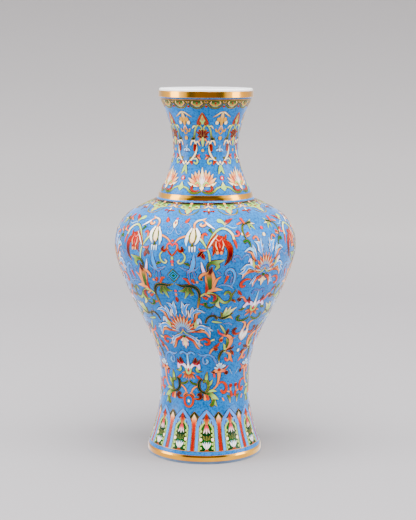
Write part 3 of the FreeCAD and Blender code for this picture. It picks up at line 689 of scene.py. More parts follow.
def upper_vines():
    """Stems, buds and acanthus between the lotus axes, above the lower lotus."""
    m = Motif(BODY_BASE)
    m.pair([(21.3, 192.4, 1.2), (23, 200, 1.8), (26.5, 208.6, 2.2), (30.5, 213, 2.4),
            (34.5, 212, 2.4), (37.6, 207, 2.4), (38.4, 201, 2.6)], "pale pale pale cream pale", 1)
    m.pair([(20.6, 191, 1.4), (17.4, 191, 2.2), (16.5, 193.4, 0.5)], "white rose crimson", 3)
    m.pair([(18.4, 189.4, 2.2), (17, 186.6, 3.2), (15.8, 184.8, 1.2)], "crimson", 3)
    m.pair([(18, 188, 2.2), (19.2, 184.6, 3.6), (19.8, 182.4, 1.6)], "crimson magenta", 2)
    m.pair([(38.4, 200.4, 2.2), (39.4, 196, 2.4), (39.8, 191.8, 0.5)], "orange", 2)
    m.pair([(38.6, 204.8, 1), (41, 204.8, 1.9), (42.4, 207.2, 2.4), (41.2, 209.2, 3.2)],
           "peach rose crimson", 2)
    m.pair([(23.2, 212, 2.7), (24.8, 208.4, 1.5)], "green", 2)
    m.pair([(32, 214, 0.6), (35, 216.4, 1.5), (38.5, 213.4, 1.5), (42, 214.2, 0.4)], "sky ice")
    m.pair([(18.6, 201.5, 1.6), (18.6, 205.6, 2.5), (20.2, 207.6, 2.3), (21.3, 206, 1.6)],
           "peach orange orange", 1)
    m.pair([(33.5, 217, 1.2), (32.6, 220.4, 3), (30.6, 222.8, 6)], "pale", 1)
    m.pair([(33.8, 218, 1.6), (36.5, 222, 4.2), (40.9, 226, 0.6)], "cream magenta red", 2)
    m.pair([(21.9, 191, 1.6), (22.8, 186, 2), (23.2, 180.4, 1.8)], "pale", 2)
    m.pair([(21.9, 169.5, 1.2), (21.8, 174.5, 2.6), (23.8, 178.6, 3), (27.5, 179, 4.6),
            (32, 181.4, 0.6)], "dark dark sage pale", 3)
    m.pair([(26.6, 177.6, 2.6), (28.4, 175, 4), (27, 172, 2)], "sage pale", 2)
    m.pair([(18, 179.4, 0.5), (18.6, 174, 2.6), (19.8, 168, 3.6)], "white lilac peach", 2)
    m.pair([(24.7, 174.6, 0.6), (23.8, 170, 3.8), (22.8, 166, 3.2)], "crimson crimson peach", 4)
    m.pair([(20, 167.4, 3.2), (17.6, 164.6, 2.8), (17.2, 161.6, 2.8), (18.4, 160.2, 2)],
           "peach peach olive", 3)
    m.dot(17.9, 161.2, 1.1, "dark", 4)
    m.pair([(22.5, 167, 5), (23.2, 160, 5), (23.6, 151, 4)], "peach sage dark", 2)
    m.pair([(24.8, 168.4, 2.4), (26, 160, 3.8), (25.8, 151, 3.2)], "peach", 1)
    m.pair([(21.4, 167.4, 2), (21, 161, 2.4), (22, 152, 2)], "peach", 1)
    m.pair([(26.2, 154, 3), (27.6, 160, 2.8), (30.4, 163.8, 0.5)], "peach", 2)
    m.pair([(20.9, 157.5, 0.6), (21.6, 151, 3), (21, 145.6, 1.6)], "orange red orange", 3)
    m.pair([(22.5, 147, 3), (27, 149.4, 4.6), (31.8, 149, 0.8)], "peach peach cream", 1)
    m.pair([(17, 141, 1.4), (19.5, 143.8, 2.2), (22.5, 145.4, 2.4), (26.5, 143.4, 2.8),
            (29.6, 139.6, 3), (31.6, 136, 2.8), (35, 133.4, 2.6), (38.4, 136, 2.4), (39, 141, 2.2),
            (41.8, 148.4, 0.8)], "peach pale pale sage pale sage sage olive", 2)
    m.pair([(38.6, 141.5, 1.8), (37.4, 145, 2.4), (35.2, 146, 2.8), (34, 143.4, 2)],
           "sage sage pale", 3)
    m.pair([(24, 144.4, 0.9), (26.8, 142.4, 2.8), (27.4, 139, 3.4), (26.2, 136.2, 0.9)],
           "crimson magenta rose", 3)
    m.pair([(20.5, 144, 2.2), (23.4, 141.4, 2)], "peach", 3)
    m.pair([(19, 140.4, 1.4), (21.4, 138.6, 2.9)], "orange", 3)
    m.pair([(29.2, 139, 1.6), (28.4, 135.4, 2.6), (26, 133.4, 2.2), (24.2, 134, 1.1)],
           "dark sage pale", 3)
    m.pair([(29.8, 136, 2), (29.4, 131, 4), (32, 127, 0.5)], "pale pale cream", 1)
    m.pair([(20.4, 132.4, 3.8), (21, 129.6, 2.4), (23, 127.6, 1.8), (25.5, 128.2, 1.8),
            (27.4, 130.4, 1)], "green", 2)
    m.pair([(17, 131.9, 1.2), (19, 131.6, 2)], "orange", 2)
    m.pair([(39, 136.6, 1), (41.2, 135.6, 2.6), (42.6, 133.6, 1.5)], "crimson crimson peach", 2)
    m.pair([(37.8, 152, 1), (39.2, 158, 2), (39.4, 165, 2.6), (37.4, 170.6, 2.5),
            (34.8, 171.2, 2.3), (33.2, 168, 2), (34.2, 165, 2.2), (36, 165.4, 2.2)],
           "sky sky sky cobalt cobalt", 1)
    m.pair([(37, 156.6, 1.1), (37.6, 162, 1.5)], "cobalt", 1)
    m.pair([(34.6, 163.6, 2.7), (33.8, 159.6, 2.1), (32.8, 156, 0.5)], "orange", 2)
    m.pair([(28.2, 169, 0.9), (29.6, 166.4, 2.2)], "cobalt", 1)
    m.pair([(27, 151.6, 0.8), (31, 154.4, 1.6), (36, 153.4, 1.6), (39, 150, 0.6)], "cobalt sky")
    return m


def lower_vines():
    """Leaf branches, acanthus, the small flower and hooks between the axes, lower down."""
    m = Motif(BODY_BASE)
    m.pair([(16, 86.6, 1.2), (19.5, 88.2, 2.5), (22.6, 87.8, 2.8), (25, 85, 2.5), (24.2, 82.2, 2.7),
            (22.2, 81.4, 2.7), (20.6, 82.6, 1.6)], "peach orange orange orange orange", 3)
    m.pair([(25.3, 85.6, 1), (29, 87.2, 2.4)], "cream pale", 2)
    m.pair([(20.9, 108.5, 1.4), (22, 114, 2), (25, 117.4, 2.2), (28.6, 117, 2.2), (30, 113.4, 2)],
           "olive dark dark dark sage", 2)
    m.pair([(27, 110.4, 2), (30.5, 109.4, 2.5), (35, 108.6, 0.5)], "pale", 1)
    m.pair([(30.5, 116, 1), (35, 114.6, 2.9), (39.5, 117.2, 2.2), (43.4, 120.6, 0.6)],
           "olive dark dark sage", 3)
    m.pair([(34.5, 116.4, 3), (39, 121, 5.2), (45, 127.4, 0.6)], "sage pale cream", 1)
    m.pair([(35.6, 118.6, 3), (36.6, 123, 3.7), (36.8, 127.6, 0.5)], "sage pale cream", 2)
    m.pair([(38, 121, 2.6), (39, 124.6, 3), (40, 128.4, 0.5)], "sage pale cream", 2)
    m.pair([(34.2, 117.5, 2.6), (33, 121.6, 1.1)], "sage olive", 2)
    m.pair([(36, 113.8, 1.6), (40.5, 116, 3.2), (43.6, 112.8, 0.5)], "sage pale peach", 2)
    m.dot(26.5, 120.4, 1.1, "cobalt")
    m.pair([(34, 105.4, 0.9), (36.5, 101, 2.4), (40.4, 94, 1.6)], "cream pale olive", 2)
    m.pair([(32, 99.8, 0.9), (34, 95.4, 2), (38.5, 92.6, 2.2), (43, 91.4, 3.2), (46.6, 88, 4.2),
            (48, 83, 4.6), (46.4, 77, 3.2), (43.6, 74.4, 1.6)],
           "pale red rose peach peach peach peach red", 2)
    m.pair([(42, 100.4, 0.8), (41.6, 96.6, 3.8), (40.8, 92.6, 1.6)], "red crimson crimson", 3)
    m.pair([(37.4, 89.8, 2.2), (36, 86.6, 3.4), (37.4, 84.8, 2.2)], "peach", 2)
    m.dot(36.8, 86.4, 1.7, "red", 3)
    m.pair([(47.6, 86.6, 2), (51, 88.6, 1)], "peach red", 3)
    m.pair([(42.4, 87.6, 1.2), (44.6, 82.6, 3), (44, 77.4, 2.6)], "pale sage dark", 3)
    m.pair([(40, 81.6, 0.8), (42.4, 77.4, 3.5), (43, 72.6, 3)], "pale", 2)
    m.pair([(42.4, 73.4, 1.6), (39.4, 72, 2.6), (37, 66, 2.3), (37.3, 61.4, 1.6)],
           "sage dark olive pale", 3)
    m.pair([(44, 73, 1.2), (47.6, 75, 2.6), (51, 75.4, 2.4), (53.8, 77.6, 0.5)],
           "red crimson crimson", 3)
    m.pair([(49.6, 73.2, 1), (53, 70, 2.7), (55.6, 66.4, 0.5)], "crimson crimson red", 3)
    m.pair([(45, 71, 1.2), (49.6, 68.6, 3.2), (50.6, 64.6, 3.2), (48.6, 61.6, 2.2), (46, 62, 2.3),
            (45, 64.2, 2)], "sage peach peach rose red", 2)
    m.pair([(50.4, 66, 2), (52.8, 62, 3), (56, 58.6, 0.5)], "peach peach orange", 1)
    m.pair([(26, 70.4, 1.4), (28, 74.6, 2.5), (31, 76.6, 1.6)], "peach", 1)
    m.pair([(30.6, 76.4, 2.2), (33, 75.2, 3.6)], "red crimson", 2)
    m.pair([(30, 78, 1.5), (33.4, 79.6, 3), (35.6, 83.4, 0.6)], "red red orange", 3)
    m.pair([(36, 107, 0.5), (41, 107.6, 1.4), (44.6, 105, 0.5)], "cobalt sky")
    m.pair([(30.5, 48.8, 2.4), (35, 50.4, 4.6), (40, 50.6, 4.6), (45, 50, 2.6), (48, 48, 2.6)],
           "peach peach peach rose crimson", 2)
    for a, v in ((33.4, 53.8), (35.4, 56.8), (37.8, 58.4), (40.4, 57.8), (43.2, 56), (45.4, 55.4)):
        m.pair([(38.6, 51.4, 0.8), ((a + 38.6) / 2, (v + 52) / 2, 1.6), (a, v, 2.2)],
               "peach ice white", 3)
    m.dot(38.3, 51.6, 1.7, "red", 5)
    m.pair([(28.3, 49.4, 0.8), (31.8, 48.8, 2.5)], "crimson", 3)
    m.dot(48.4, 47.6, 2.0, "crimson", 3)
    m.pair([(45, 51.2, 1.7), (50.4, 55.4, 0.6)], "peach orange", 3)
    m.pair([(32, 47, 2), (32.8, 44.2, 2)], "rose orange", 2)
    m.pair([(38.6, 48, 4), (38.2, 41, 2.4), (36, 34.6, 2), (31, 30.6, 1)], "peach", 1)
    m.pair([(37.4, 36.2, 1.2), (42, 38, 1.8), (47, 36, 2.3), (49.4, 31.6, 2.8), (47.6, 27.6, 2.8),
            (44.6, 26.6, 2.8), (42, 29, 2.3)], "peach orange orange orange orange", 2)
    m.pair([(50, 27.6, 1), (54, 26.8, 1.5)], "peach", 1)
    m.dot(55.6, 33.2, 1.9, "red", 2)
    m.pair([(55.6, 31.4, 2), (55.4, 27, 1.2)], "peach", 1)
    m.pair([(56, 26.6, 2.4), (57.4, 22.4, 2.8)], "orange", 2)
    m.pair([(50.6, 23, 1.4), (53.6, 20.6, 3.6), (54.6, 15.6, 1.1)], "olive sage cream", 1)
    m.pair([(43.5, 21, 1.3), (45.4, 18.4, 1.6)], "peach")
    m.pair([(53, 50.6, 0.7), (56.8, 45.6, 0.9)], "ice sky")
    return m


def garland():
    """Thin blue garland, lily, green arcs, C-scrolls and the loop pendant on the lower axis."""
    m = Motif(BODY_BASE)
    m.pair([(0.4, 68.6, 2.2), (2.5, 70.4, 1.9), (5.5, 71.4, 2.1), (8, 69.6, 2.5)], "sky", 1)
    m.spine([(68.4, 1.4), (63, 2), (57, 2.6)], "ice ice lilac", 2)
    m.pair([(12.5, 70, 0.6), (17, 67.8, 1.7), (22, 68.8, 1.8), (26, 68.4, 1.9), (30, 66, 1.9),
            (33, 61.5, 1.9), (34.5, 59, 1)], "sky sky sky azure azure azure")
    m.pair([(21.6, 67.4, 1.3), (18.4, 64.6, 1.6), (18.6, 59.6, 1.8), (21.4, 58, 1.4)], "azure sky")
    m.pair([(21.8, 58.2, 1.6), (24, 60.6, 2.4), (22.6, 63, 1.4)], "sky ice")
    m.pair([(2.4, 51.5, 2), (4.5, 55.5, 3.2), (8, 57.6, 4), (12, 57, 4.6), (13.4, 53.4, 3)],
           "white white lilac lilac white", 2)
    m.pair([(12.4, 55, 3), (11, 51.4, 3), (13, 49.6, 2.3), (17.4, 50, 0.5)], "pale pale olive", 1)
    m.pair([(8.4, 59, 4.4), (9.2, 62, 3.8), (9.6, 65.4, 0.6)], "rose crimson crimson", 3)
    m.pair([(11, 58, 3), (13.2, 60, 2.6), (14.2, 63, 0.5)], "rose magenta crimson", 3)
    m.pair([(3.2, 52, 2), (2, 48.4, 2.4), (0.05, 46.9, 1.8)], "pale", 4)
    m.spine([(49, 2.6), (53, 4.4), (57.4, 2)], "rose white white", 3)
    m.spine([(50, 2), (52.4, 1.6)], "red rose", 5)
    m.pair([(2.5, 47.8, 2), (5, 48, 2.4), (8.4, 47.4, 0.5)], "red red peach", 2)
    m.pair([(2.2, 46.6, 2), (5, 44.8, 2.5), (7.4, 42, 0.6)], "red red peach", 2)
    m.pair([(1, 45.8, 1.6), (2.8, 43.6, 2), (3.6, 41.4, 0.6)], "red red peach", 2)
    m.spine([(46, 2.6), (40.8, 0.8)], "red peach", 2)
    m.pair([(1.4, 39.4, 1.4), (4, 37.2, 2), (7, 36.2, 2), (11.6, 36, 1.5)], "green", 2)
    m.pair([(10, 45.3, 0.8), (12.5, 43.2, 2.9), (15, 42, 1)], "orange", 2)
    m.pair([(16.4, 41.5, 2.2), (13.6, 38.8, 2.6), (12.9, 34, 2.8), (14.6, 30.2, 2.4), (18, 27.8, 2),
            (23, 26.6, 2.4), (28, 25.6, 4), (33, 22.5, 4.6), (38, 20, 0.6)],
           "dark dark dark dark dark dark sage pale pale", 3)
    m.pair([(19, 38, 1.6), (20.5, 39.8, 3), (23, 40, 3.4), (25.2, 36, 3), (24.8, 32, 2.4),
            (22, 28.6, 1.6)], "dark sage sage sage dark", 2)
    m.pair([(22.4, 40, 3), (22.6, 44.5, 3.4), (23.4, 49.8, 0.6)], "sage pale olive", 2)
    m.pair([(25, 34.6, 2), (27.6, 37, 3.4), (30.2, 41, 0.6)], "sage pale", 2)
    m.pair([(26, 28.6, 2), (31, 29.4, 3.5), (35.6, 28.5, 0.5)], "sage pale pale", 2)
    m.pair([(30.5, 23, 4), (33, 17, 3.5), (36, 13, 0.8)], "sage pale olive", 1)
    m.pair([(32, 19, 3), (30, 14.6, 4), (27.6, 14.6, 2)], "sage sage olive", 2)
    m.pair([(11.5, 34, 1.2), (8, 32.8, 1.8), (4.8, 30, 1.8), (3.6, 26.5, 1.4)], "peach", 1)
    m.pair([(0.05, 24.4, 1.6), (4, 23, 2), (6, 19.6, 2.1), (5, 15.2, 2), (2.6, 12.7, 2),
            (0.05, 11.9, 1.6)], "peach red orange orange orange", 2)
    m.dot(0, 18, 1.3, "cream", 2)
    m.pair([(2.4, 26.6, 1.4), (5.6, 25.4, 1.8), (7.4, 23, 1)], "peach orange", 1)
    m.pair([(11.6, 24.5, 2), (14, 25.4, 3.5), (15.6, 23, 3.7), (14, 20.8, 2.3), (10.5, 20.4, 1.6),
            (7, 20.8, 1)], "crimson crimson crimson red peach", 2)
    m.pair([(20.4, 25, 1.5), (21, 20.6, 3)], "peach", 1)
    m.pair([(23.2, 25, 2), (24.6, 20.8, 3)], "orange", 1)
    return m


def crown():
    """Stems, lily, green hooks and calyx on the upper lotus's axis."""
    m = Motif(BODY_BASE)
    m.pair([(15.6, 198.4, 3), (13.4, 199.4, 2.6), (11.9, 196.6, 2.1), (11.7, 193.2, 1)], "green", 3)
    m.pair([(14, 201, 1.2), (15.2, 206, 1.6), (15.3, 212, 1.9), (13.6, 217, 2), (10.4, 218.4, 2.4),
            (7.6, 219.4, 3)], "sage olive sage dark dark sage", 2)
    m.pair([(9, 219, 3), (6, 223.4, 0.5)], "sage pale", 1)
    m.pair([(8, 218.2, 3), (4.5, 216.8, 0.5)], "sage cream", 1)
    m.pair([(9.6, 217.6, 3), (9.6, 211.4, 0.8)], "sage pale", 1)
    m.pair([(8, 216, 3), (5.8, 210.2, 0.5)], "sage pale", 1)
    m.pair([(13.4, 224.8, 2.9), (12.6, 219, 2.4)], "orange", 2)
    m.pair([(15.2, 219.4, 2.5), (18, 217.4, 1.6)], "orange peach", 2)
    m.pair([(13.6, 205.6, 1.4), (11.8, 207.4, 2.1)], "orange", 2)
    m.pair([(13.2, 203.8, 1.6), (11, 205, 1.2)], "peach", 1)
    m.dot(16.2, 206.4, 1.3, "cream")
    m.dot(0, 211.8, 1.7, "rose")
    m.dot(0, 204.6, 1.8, "cream")
    m.pair([(9.6, 158.8, 1), (12.4, 159.5, 2), (15, 157.4, 2.6), (16.2, 153.8, 2.9),
            (14.8, 151, 2.5), (13, 152.2, 1.7)], "peach orange orange orange orange", 3)
    m.pair([(12, 181.4, 0.6), (13.6, 185.6, 1.4), (16, 184.4, 1.3), (17.8, 181, 1.2),
            (19.8, 184.4, 1.4), (22.6, 184, 1.9), (23.4, 180.6, 2), (22, 179.6, 1.4)],
           "sky cobalt cobalt")
    m.pair([(5, 142.6, 2.5), (4.8, 145.4, 2), (2.4, 146.3, 1.8), (0.05, 144.6, 1.6)], "cobalt", 1)
    m.spine([(144, 1.4), (139, 1.8), (133.6, 2.6)], "sky ice lilac", 2)
    m.pair([(17.4, 147.4, 0.6), (16, 144.4, 3.2), (14, 141.4, 1.3)], "red red crimson", 2)
    m.pair([(16, 137, 2.6), (14.4, 135.6, 3.4)], "crimson", 2)
    m.pair([(14.6, 139, 1), (12, 138.4, 2.1), (9.4, 134, 2.5), (7, 131.4, 2)],
           "peach peach rose rose", 1)
    m.pair([(6.8, 138.6, 0.8), (6.6, 134.6, 3.5), (5.4, 131, 2.2)], "crimson crimson rose", 3)
    m.pair([(1.8, 126, 2.4), (3.6, 130.4, 4.2), (7, 130.6, 4.2), (9.4, 127.2, 3)],
           "white lilac lilac white", 2)
    m.pair([(8.8, 126, 3), (10.8, 123.8, 2.7), (13.6, 122.8, 0.5)], "pale sage olive", 1)
    m.pair([(3, 126.6, 2), (2, 122.8, 2.3), (0.05, 121, 1.8)], "pale", 4)
    m.spine([(122.6, 3), (128, 5), (134, 1.6)], "rose white white", 3)
    m.spine([(123.6, 3), (126.4, 2)], "red rose", 5)
    m.pair([(2.6, 121.6, 2), (4.6, 122, 2.7), (6.8, 121, 0.5)], "red red peach", 2)
    m.pair([(2, 120.2, 2), (4, 118.4, 2.7), (6.2, 115.8, 0.6)], "red red peach", 2)
    m.spine([(120, 4), (115, 0.8)], "red peach", 2)
    m.pair([(1.2, 113, 1.6), (4.6, 110.4, 2.3), (8.4, 109.4, 2.1), (11.6, 110.8, 2.5),
            (12.8, 113.6, 2.9), (11.4, 115.8, 2.5)], "green", 2)
    m.pair([(6, 107.6, 1), (3, 106, 2.5), (1.8, 102, 2.9), (2.8, 97, 2.5)], "peach peach cream", 1)
    m.pair([(5, 93.6, 2), (9, 92.6, 2.5), (12, 94.6, 3.1), (12.8, 98, 3.5), (10.8, 100, 2.5)],
           "peach red crimson crimson", 2)
    m.pair([(3, 97, 3), (2.6, 91.6, 4.6), (0.8, 85, 2)], "peach white peach", 3)
    m.pair([(5, 93.6, 0.7), (3.4, 88.4, 2.7), (1, 84.4, 0.8)], "lilac cream peach", 2)
    m.spine([(95, 1.4), (89.4, 3.4), (83.6, 0.7)], "peach white peach", 4)
    m.dot(0, 79.4, 1.6, "rose")
    m.dot(0, 71.8, 1.6, "cream")
    return m


def body():
    low, high, n = LOW_TURN, HIGH_TURN, BODY_UNITS
    place("lower_lotus", lower_lotus(), n, low, "sky_enamel", "lower_lotus_flowers")
    place("upper_lotus", upper_lotus(), n, high, "sky_enamel", "upper_lotus_flowers")
    place("fret_lozenge", fret_lozenge(), n, low, "dark_green_enamel", "fret_lozenges")
    place("scroll_bats", bats(), n, low, "red_enamel", "scroll_bats")
    place("ruyi_knot", knots(), n, low, "peach_enamel")
    place("upper_vines", upper_vines(), n, low, "pale_green_enamel")
    place("lower_vines", lower_vines(), n, low, "orange_enamel")
    place("garland", garland(), n, low, "dark_green_enamel")
    place("crown", crown(), n, high, "pale_green_enamel")


# ---- neck motifs ----------------------------------------------------------------------

NECK_BASE = 277.0
NECK_UNITS = 6
NECK_TURN = -5.0


def spades():
    m = Motif(NECK_BASE)
    m.pair([(0.05, 84.6, 0.8), (3, 80.6, 1.8), (6.6, 75.6, 2.1), (7.2, 72.8, 2.3), (5.4, 71.8, 2.1),
            (3.6, 73, 1.7), (3.4, 75, 1.1)], "red red crimson", 2)
    m.spine([(82, 0.5), (78.6, 3.4), (76, 5.6), (73.4, 2.6)], "pale", 1)
    m.spine([(79.4, 1.4), (77, 1.8)], "peach rose", 3)
    return m


def palmettes():
    m = Motif(NECK_BASE)
    m.spine([(56.6, 3), (60, 8), (63, 3)], "dark crimson crimson", 1)
    m.pair([(0.05, 58.5, 2), (4, 62.4, 3.6), (10.6, 64.4, 0.6)], "dark crimson crimson red", 2)
    m.pair([(0.05, 59.5, 2), (3, 64, 3), (6.6, 66.8, 0.5)], "dark crimson crimson red", 3)
    m.spine([(60, 2), (63.6, 3), (67.4, 0.7)], "dark crimson crimson red", 4)
    m.pair([(1, 57.6, 2), (5, 60, 2.7), (9, 58.8, 0.5)], "dark crimson crimson red", 3)
    m.pair([(1, 56.6, 1.6), (4, 57, 2.5), (7, 54.4, 0.5)], "rose peach", 3)
    m.spine([(58, 2.2), (54, 3.5), (49.8, 0.9)], "pale", 4)
    return m


def neck_vines():
    """Pale stems, leaves and the long S scroll beside the palmettes."""
    m = Motif(NECK_BASE)
    m.pair([(0.6, 66.4, 1), (3.4, 70.6, 1.4), (8.6, 71, 1.7), (12.6, 66, 1.7), (14, 61, 1.7),
            (15.6, 57.6, 2.5)], "pale pale pale sage dark", 2)
    m.pair([(14, 57.2, 2), (17, 57.2, 3), (20.6, 57, 1)], "dark dark sage", 3)
    m.pair([(10.5, 70.2, 1.4), (14, 70.6, 1.9), (17.2, 67.6, 0.5)], "pale cream", 2)
    m.pair([(0.9, 68.6, 1), (2.8, 66.8, 1.2), (5, 66.6, 0.6)], "pale")
    m.pair([(21.6, 51, 1.3), (19.6, 54.6, 1.8), (15.6, 55.6, 1.8), (12.2, 52, 1.8), (11.2, 47, 1.9),
            (13, 42, 2), (17, 38, 2), (22, 34.6, 1.9), (27, 31.5, 1.7)],
           "peach cream cream cream white", 2)
    m.pair([(11.6, 53, 1.2), (9.4, 54.8, 1.6), (7, 52.6, 1.5), (4.6, 50, 0.5)],
           "cream cream peach", 1)
    m.pair([(13.6, 50.6, 3.4), (14.6, 45.6, 2.6)], "crimson red", 3)
    m.dot(0, 45.5, 1.4, "gold")
    m.pair([(5, 41.6, 0.6), (8, 39.6, 2.7), (12.6, 39.8, 1.1)], "rose crimson crimson", 1)
    m.pair([(4, 36.4, 0.6), (6.4, 38, 1.9), (9, 39, 1.1)], "peach rose", 1)
    m.pair([(14.2, 33.2, 1.5), (10.6, 31.9, 1.8), (8.6, 34.2, 1.8), (11, 37, 1.8), (15.4, 36.6, 1)],
           "pale pale white", 1)
    m.pair([(18, 31.2, 1.1), (19.6, 33.6, 2.9), (22.6, 34, 1.6)], "orange red orange", 3)
    m.pair([(21, 38.4, 1.4), (23.2, 37.4, 1.4)], "sage", 1)
    return m


def neck_lotus():
    m = Motif(NECK_BASE)
    m.pair([(1.6, 10, 2.4), (4.6, 18, 4.4), (5.4, 25.4, 0.5)], "rose rose peach cream", 3)
    m.pair([(3, 10, 2.4), (8.6, 18.4, 4.2), (11.4, 24, 0.5)], "crimson rose peach cream", 2)
    m.pair([(4, 9.6, 2.4), (12.4, 17, 4), (16.6, 21.4, 0.5)], "crimson rose peach cream", 1)
    m.pair([(4.6, 9, 2), (14.6, 13.8, 3.8), (20.6, 17.2, 0.5)], "rose peach cream", 2)
    m.pair([(6, 8.4, 1.6), (14.4, 9.8, 3.2), (20.6, 12.8, 0.5)], "peach cream cream", 1)
    m.spine([(10, 3), (18, 4.8), (28, 0.7)], "peach cream cream", 4)
    m.pair([(0.8, 11, 1.6), (3, 16, 2.4), (3.4, 20.6, 0.5)], "white white rose", 5)
    m.pair([(2, 10, 1.6), (6.4, 14.6, 2.2), (8, 18, 0.5)], "white cream rose", 4)
    m.spine([(10, 1.4), (14.6, 2.4), (19, 0.6)], "pale white white", 6)
    m.pair([(9.4, 15.2, 0.7), (12, 19, 1.3)], "rose crimson", 3)
    m.pair([(2, 8, 1.3), (4, 11.4, 1.6), (7.6, 12.4, 1.5), (9, 10.2, 1.1)], "pale", 6)
    m.spine([(9.4, 1.8), (6.6, 5), (4, 1.8)], "cream cream peach", 5)
    m.pair([(1.5, 2.6, 1.4), (6, 0.9, 1.5), (12, 0.9, 1.8), (16.4, 3, 2), (20, 6, 2),
            (26, 7.8, 1.4)], "green sage sage pale pale", 1)
    m.pair([(4, 4, 0.8), (8, 2.8, 1.6), (12, 3.6, 2), (13.8, 6.2, 2.5), (12.8, 8.8, 2.1)],
           "red red crimson", 2)
    return m


def pendants():
    """Gold tassels, bats and pearls on the axes between the spades."""
    m = Motif(NECK_BASE)
    m.pair([(0.05, 85.6, 1.3), (4, 84.6, 1.7), (8, 82.6, 1.7), (14, 80, 0.5)], "gold cream gold")
    m.spine([(83.8, 2.4), (80, 4.4), (76.5, 4.6), (72.4, 2.6)], "cream gold gold", 1)
    m.dot(5, 77.4, 2.1, "gold", 2)
    m.dot(7.4, 74.2, 1.9, "cream")
    m.pair([(0.05, 71.4, 1.2), (3.2, 67.4, 1)], "white rose", 1)
    m.pair([(0.05, 68.2, 1.1), (2.8, 66.6, 1.2), (2.4, 63.4, 1.2), (0.05, 62, 0.9)], "gold")
    m.pair([(8.5, 67, 1.6), (7, 64.8, 1.4), (4.6, 65.4, 1.2), (3.4, 67, 1)], "gold")
    m.dot(0, 65, 1.3, "cobalt")
    m.dot(0, 58, 1.9, "gold")
    m.pair([(0.05, 45.6, 2.4), (3.6, 45.9, 2.9), (6.5, 45, 0.5)], "white ice", 1)
    m.dot(2.6, 45.5, 0.9, "cobalt", 2)
    m.pair([(0.05, 47.3, 1.8), (1.8, 50.8, 0.7)], "ice sky", 1)
    m.dot(0, 33.5, 1.3, "cream")
    m.pair([(0.8, 29.6, 2.4), (2.4, 25, 3), (4.6, 21.6, 1)], "pale", 1)
    m.dot(0, 17, 2.1, "rose")
    m.dot(0, 17, 0.9, "white", 3)
    m.spine([(12.6, 1), (9, 4.8), (6.4, 6.8), (4, 2)], "cream pale pale", 1)
    return m


def belt(base, v, width, colour):
    """A cell that runs all the way round."""
    m = Motif(base)
    m.stroke([(0, v, width), (360, v, width)], colour)
    return m


def lip_heads():
    m = Motif(NECK_BASE)
    m.spine([(91.2, 4), (93, 9), (95.6, 14), (98, 16)], "pale pale sage dark", flat=True)
    m.pair([(0.05, 92.6, 1.2), (3.6, 93.2, 1.5), (6.6, 95, 1.6), (5.6, 97, 1.1)],
           "gold gold cream", 2)
    m.pair([(0.05, 89.6, 1.1), (5, 90.4, 1.3), (8.8, 92.8, 1.3), (11.2, 95.6, 1)],
           "sage sage green", 1)
    m.spine([(94.4, 1.6), (95.6, 2)], "red", 3)
    return m


def lip_pearls():
    m = Motif(NECK_BASE)
    m.dot(0, 91.6, 1.15, "red")
    m.pair([(0.5, 95.6, 1.2), (2, 97, 1)], "gold")
    return m


def neck():
    n, turn = NECK_UNITS, NECK_TURN
    place("neck_spade", spades(), n, turn, "red_enamel", "neck_spades")
    place("neck_palmette", palmettes(), n, turn, "red_enamel", "neck_palmettes")
    place("neck_vine", neck_vines(), n, turn, "pale_green_enamel")
    place("neck_lotus", neck_lotus(), n, turn, "peach_enamel", "neck_lotus_flowers")
    place("neck_pendant", pendants(), n, turn + 180 / n, "peach_enamel", "neck_pendants")
    ring("lip_green_band", belt(NECK_BASE, 98.4, 1.7, "olive dark"), 1, 0, "dark_green_enamel")
    ring("lip_ruyi", lip_heads(), 15, 12.4, "pale_green_enamel", "lip_ruyi_heads")
    ring("lip_pearl", lip_pearls(), 15, 24.4, "red_enamel", "lip_pearls")


# ---- shoulder motifs ------------------------------------------------------------------

SHOULDER_BASE = 235.0
SHOULDER_UNITS = 10
SHOULDER_TURN = -15.0


def shoulder_heads():
    m = Motif(SHOULDER_BASE)
    m.spine([(52, 20), (48, 19), (44, 13), (39.6, 6)], "sage sage pale pale", flat=True)
    m.pair([(0.05, 31.8, 1), (4.6, 33.4, 1.3), (8, 38, 1.3), (9.4, 41.6, 0.8)], "gold sage sage")
    m.pair([(9.6, 44.6, 0.8), (13.4, 45.4, 1.4), (14.8, 48.4, 1.4), (12.6, 50.4, 0.9)], "sage gold")
    m.spine([(44, 3), (40, 6), (36.8, 5.4), (33.4, 0.9)], "sage pale pale cream", 2)
    m.pair([(1, 41.6, 0.5), (2.6, 38.4, 1.3), (1, 35, 0.5)], "peach", 3)
    m.spine([(51, 2.6), (48, 3), (45, 4)], "sage pale pale", 3)
    m.dot(0, 44.6, 1.4, "red", 4)
    m.pair([(3, 43.6, 1.2), (6.6, 43.4, 2), (9, 46, 2.3), (7, 48.6, 2.2), (4.6, 47, 1.5)],
           "pale pale pale sage", 1)
    m.dot(6.2, 46, 0.9, "red", 3)
    m.dot(0, 52.6, 1.5, "peach", 3)
    return m


def shoulder_florets():
    m = Motif(SHOULDER_BASE)
    m.pair([(0.5, 38.8, 0.9), (4.2, 38.8, 2.5)], "crimson red", 2)
    m.spine([(38.4, 2.3), (33, 0.5)], "red crimson", 3)
    m.spine([(42.4, 1.3), (39.4, 2)], "cream", 2)
    m.pair([(0.05, 49.4, 1.5), (2, 46, 1.9), (4.4, 44.8, 1)], "cream gold", 1)
    m.pair([(0.4, 51, 1.8), (2, 52.6, 2.2), (5, 53.6, 0.8)], "rose crimson red", 3)
    m.dot(0, 52.6, 0.8, "cream", 4)
    return m


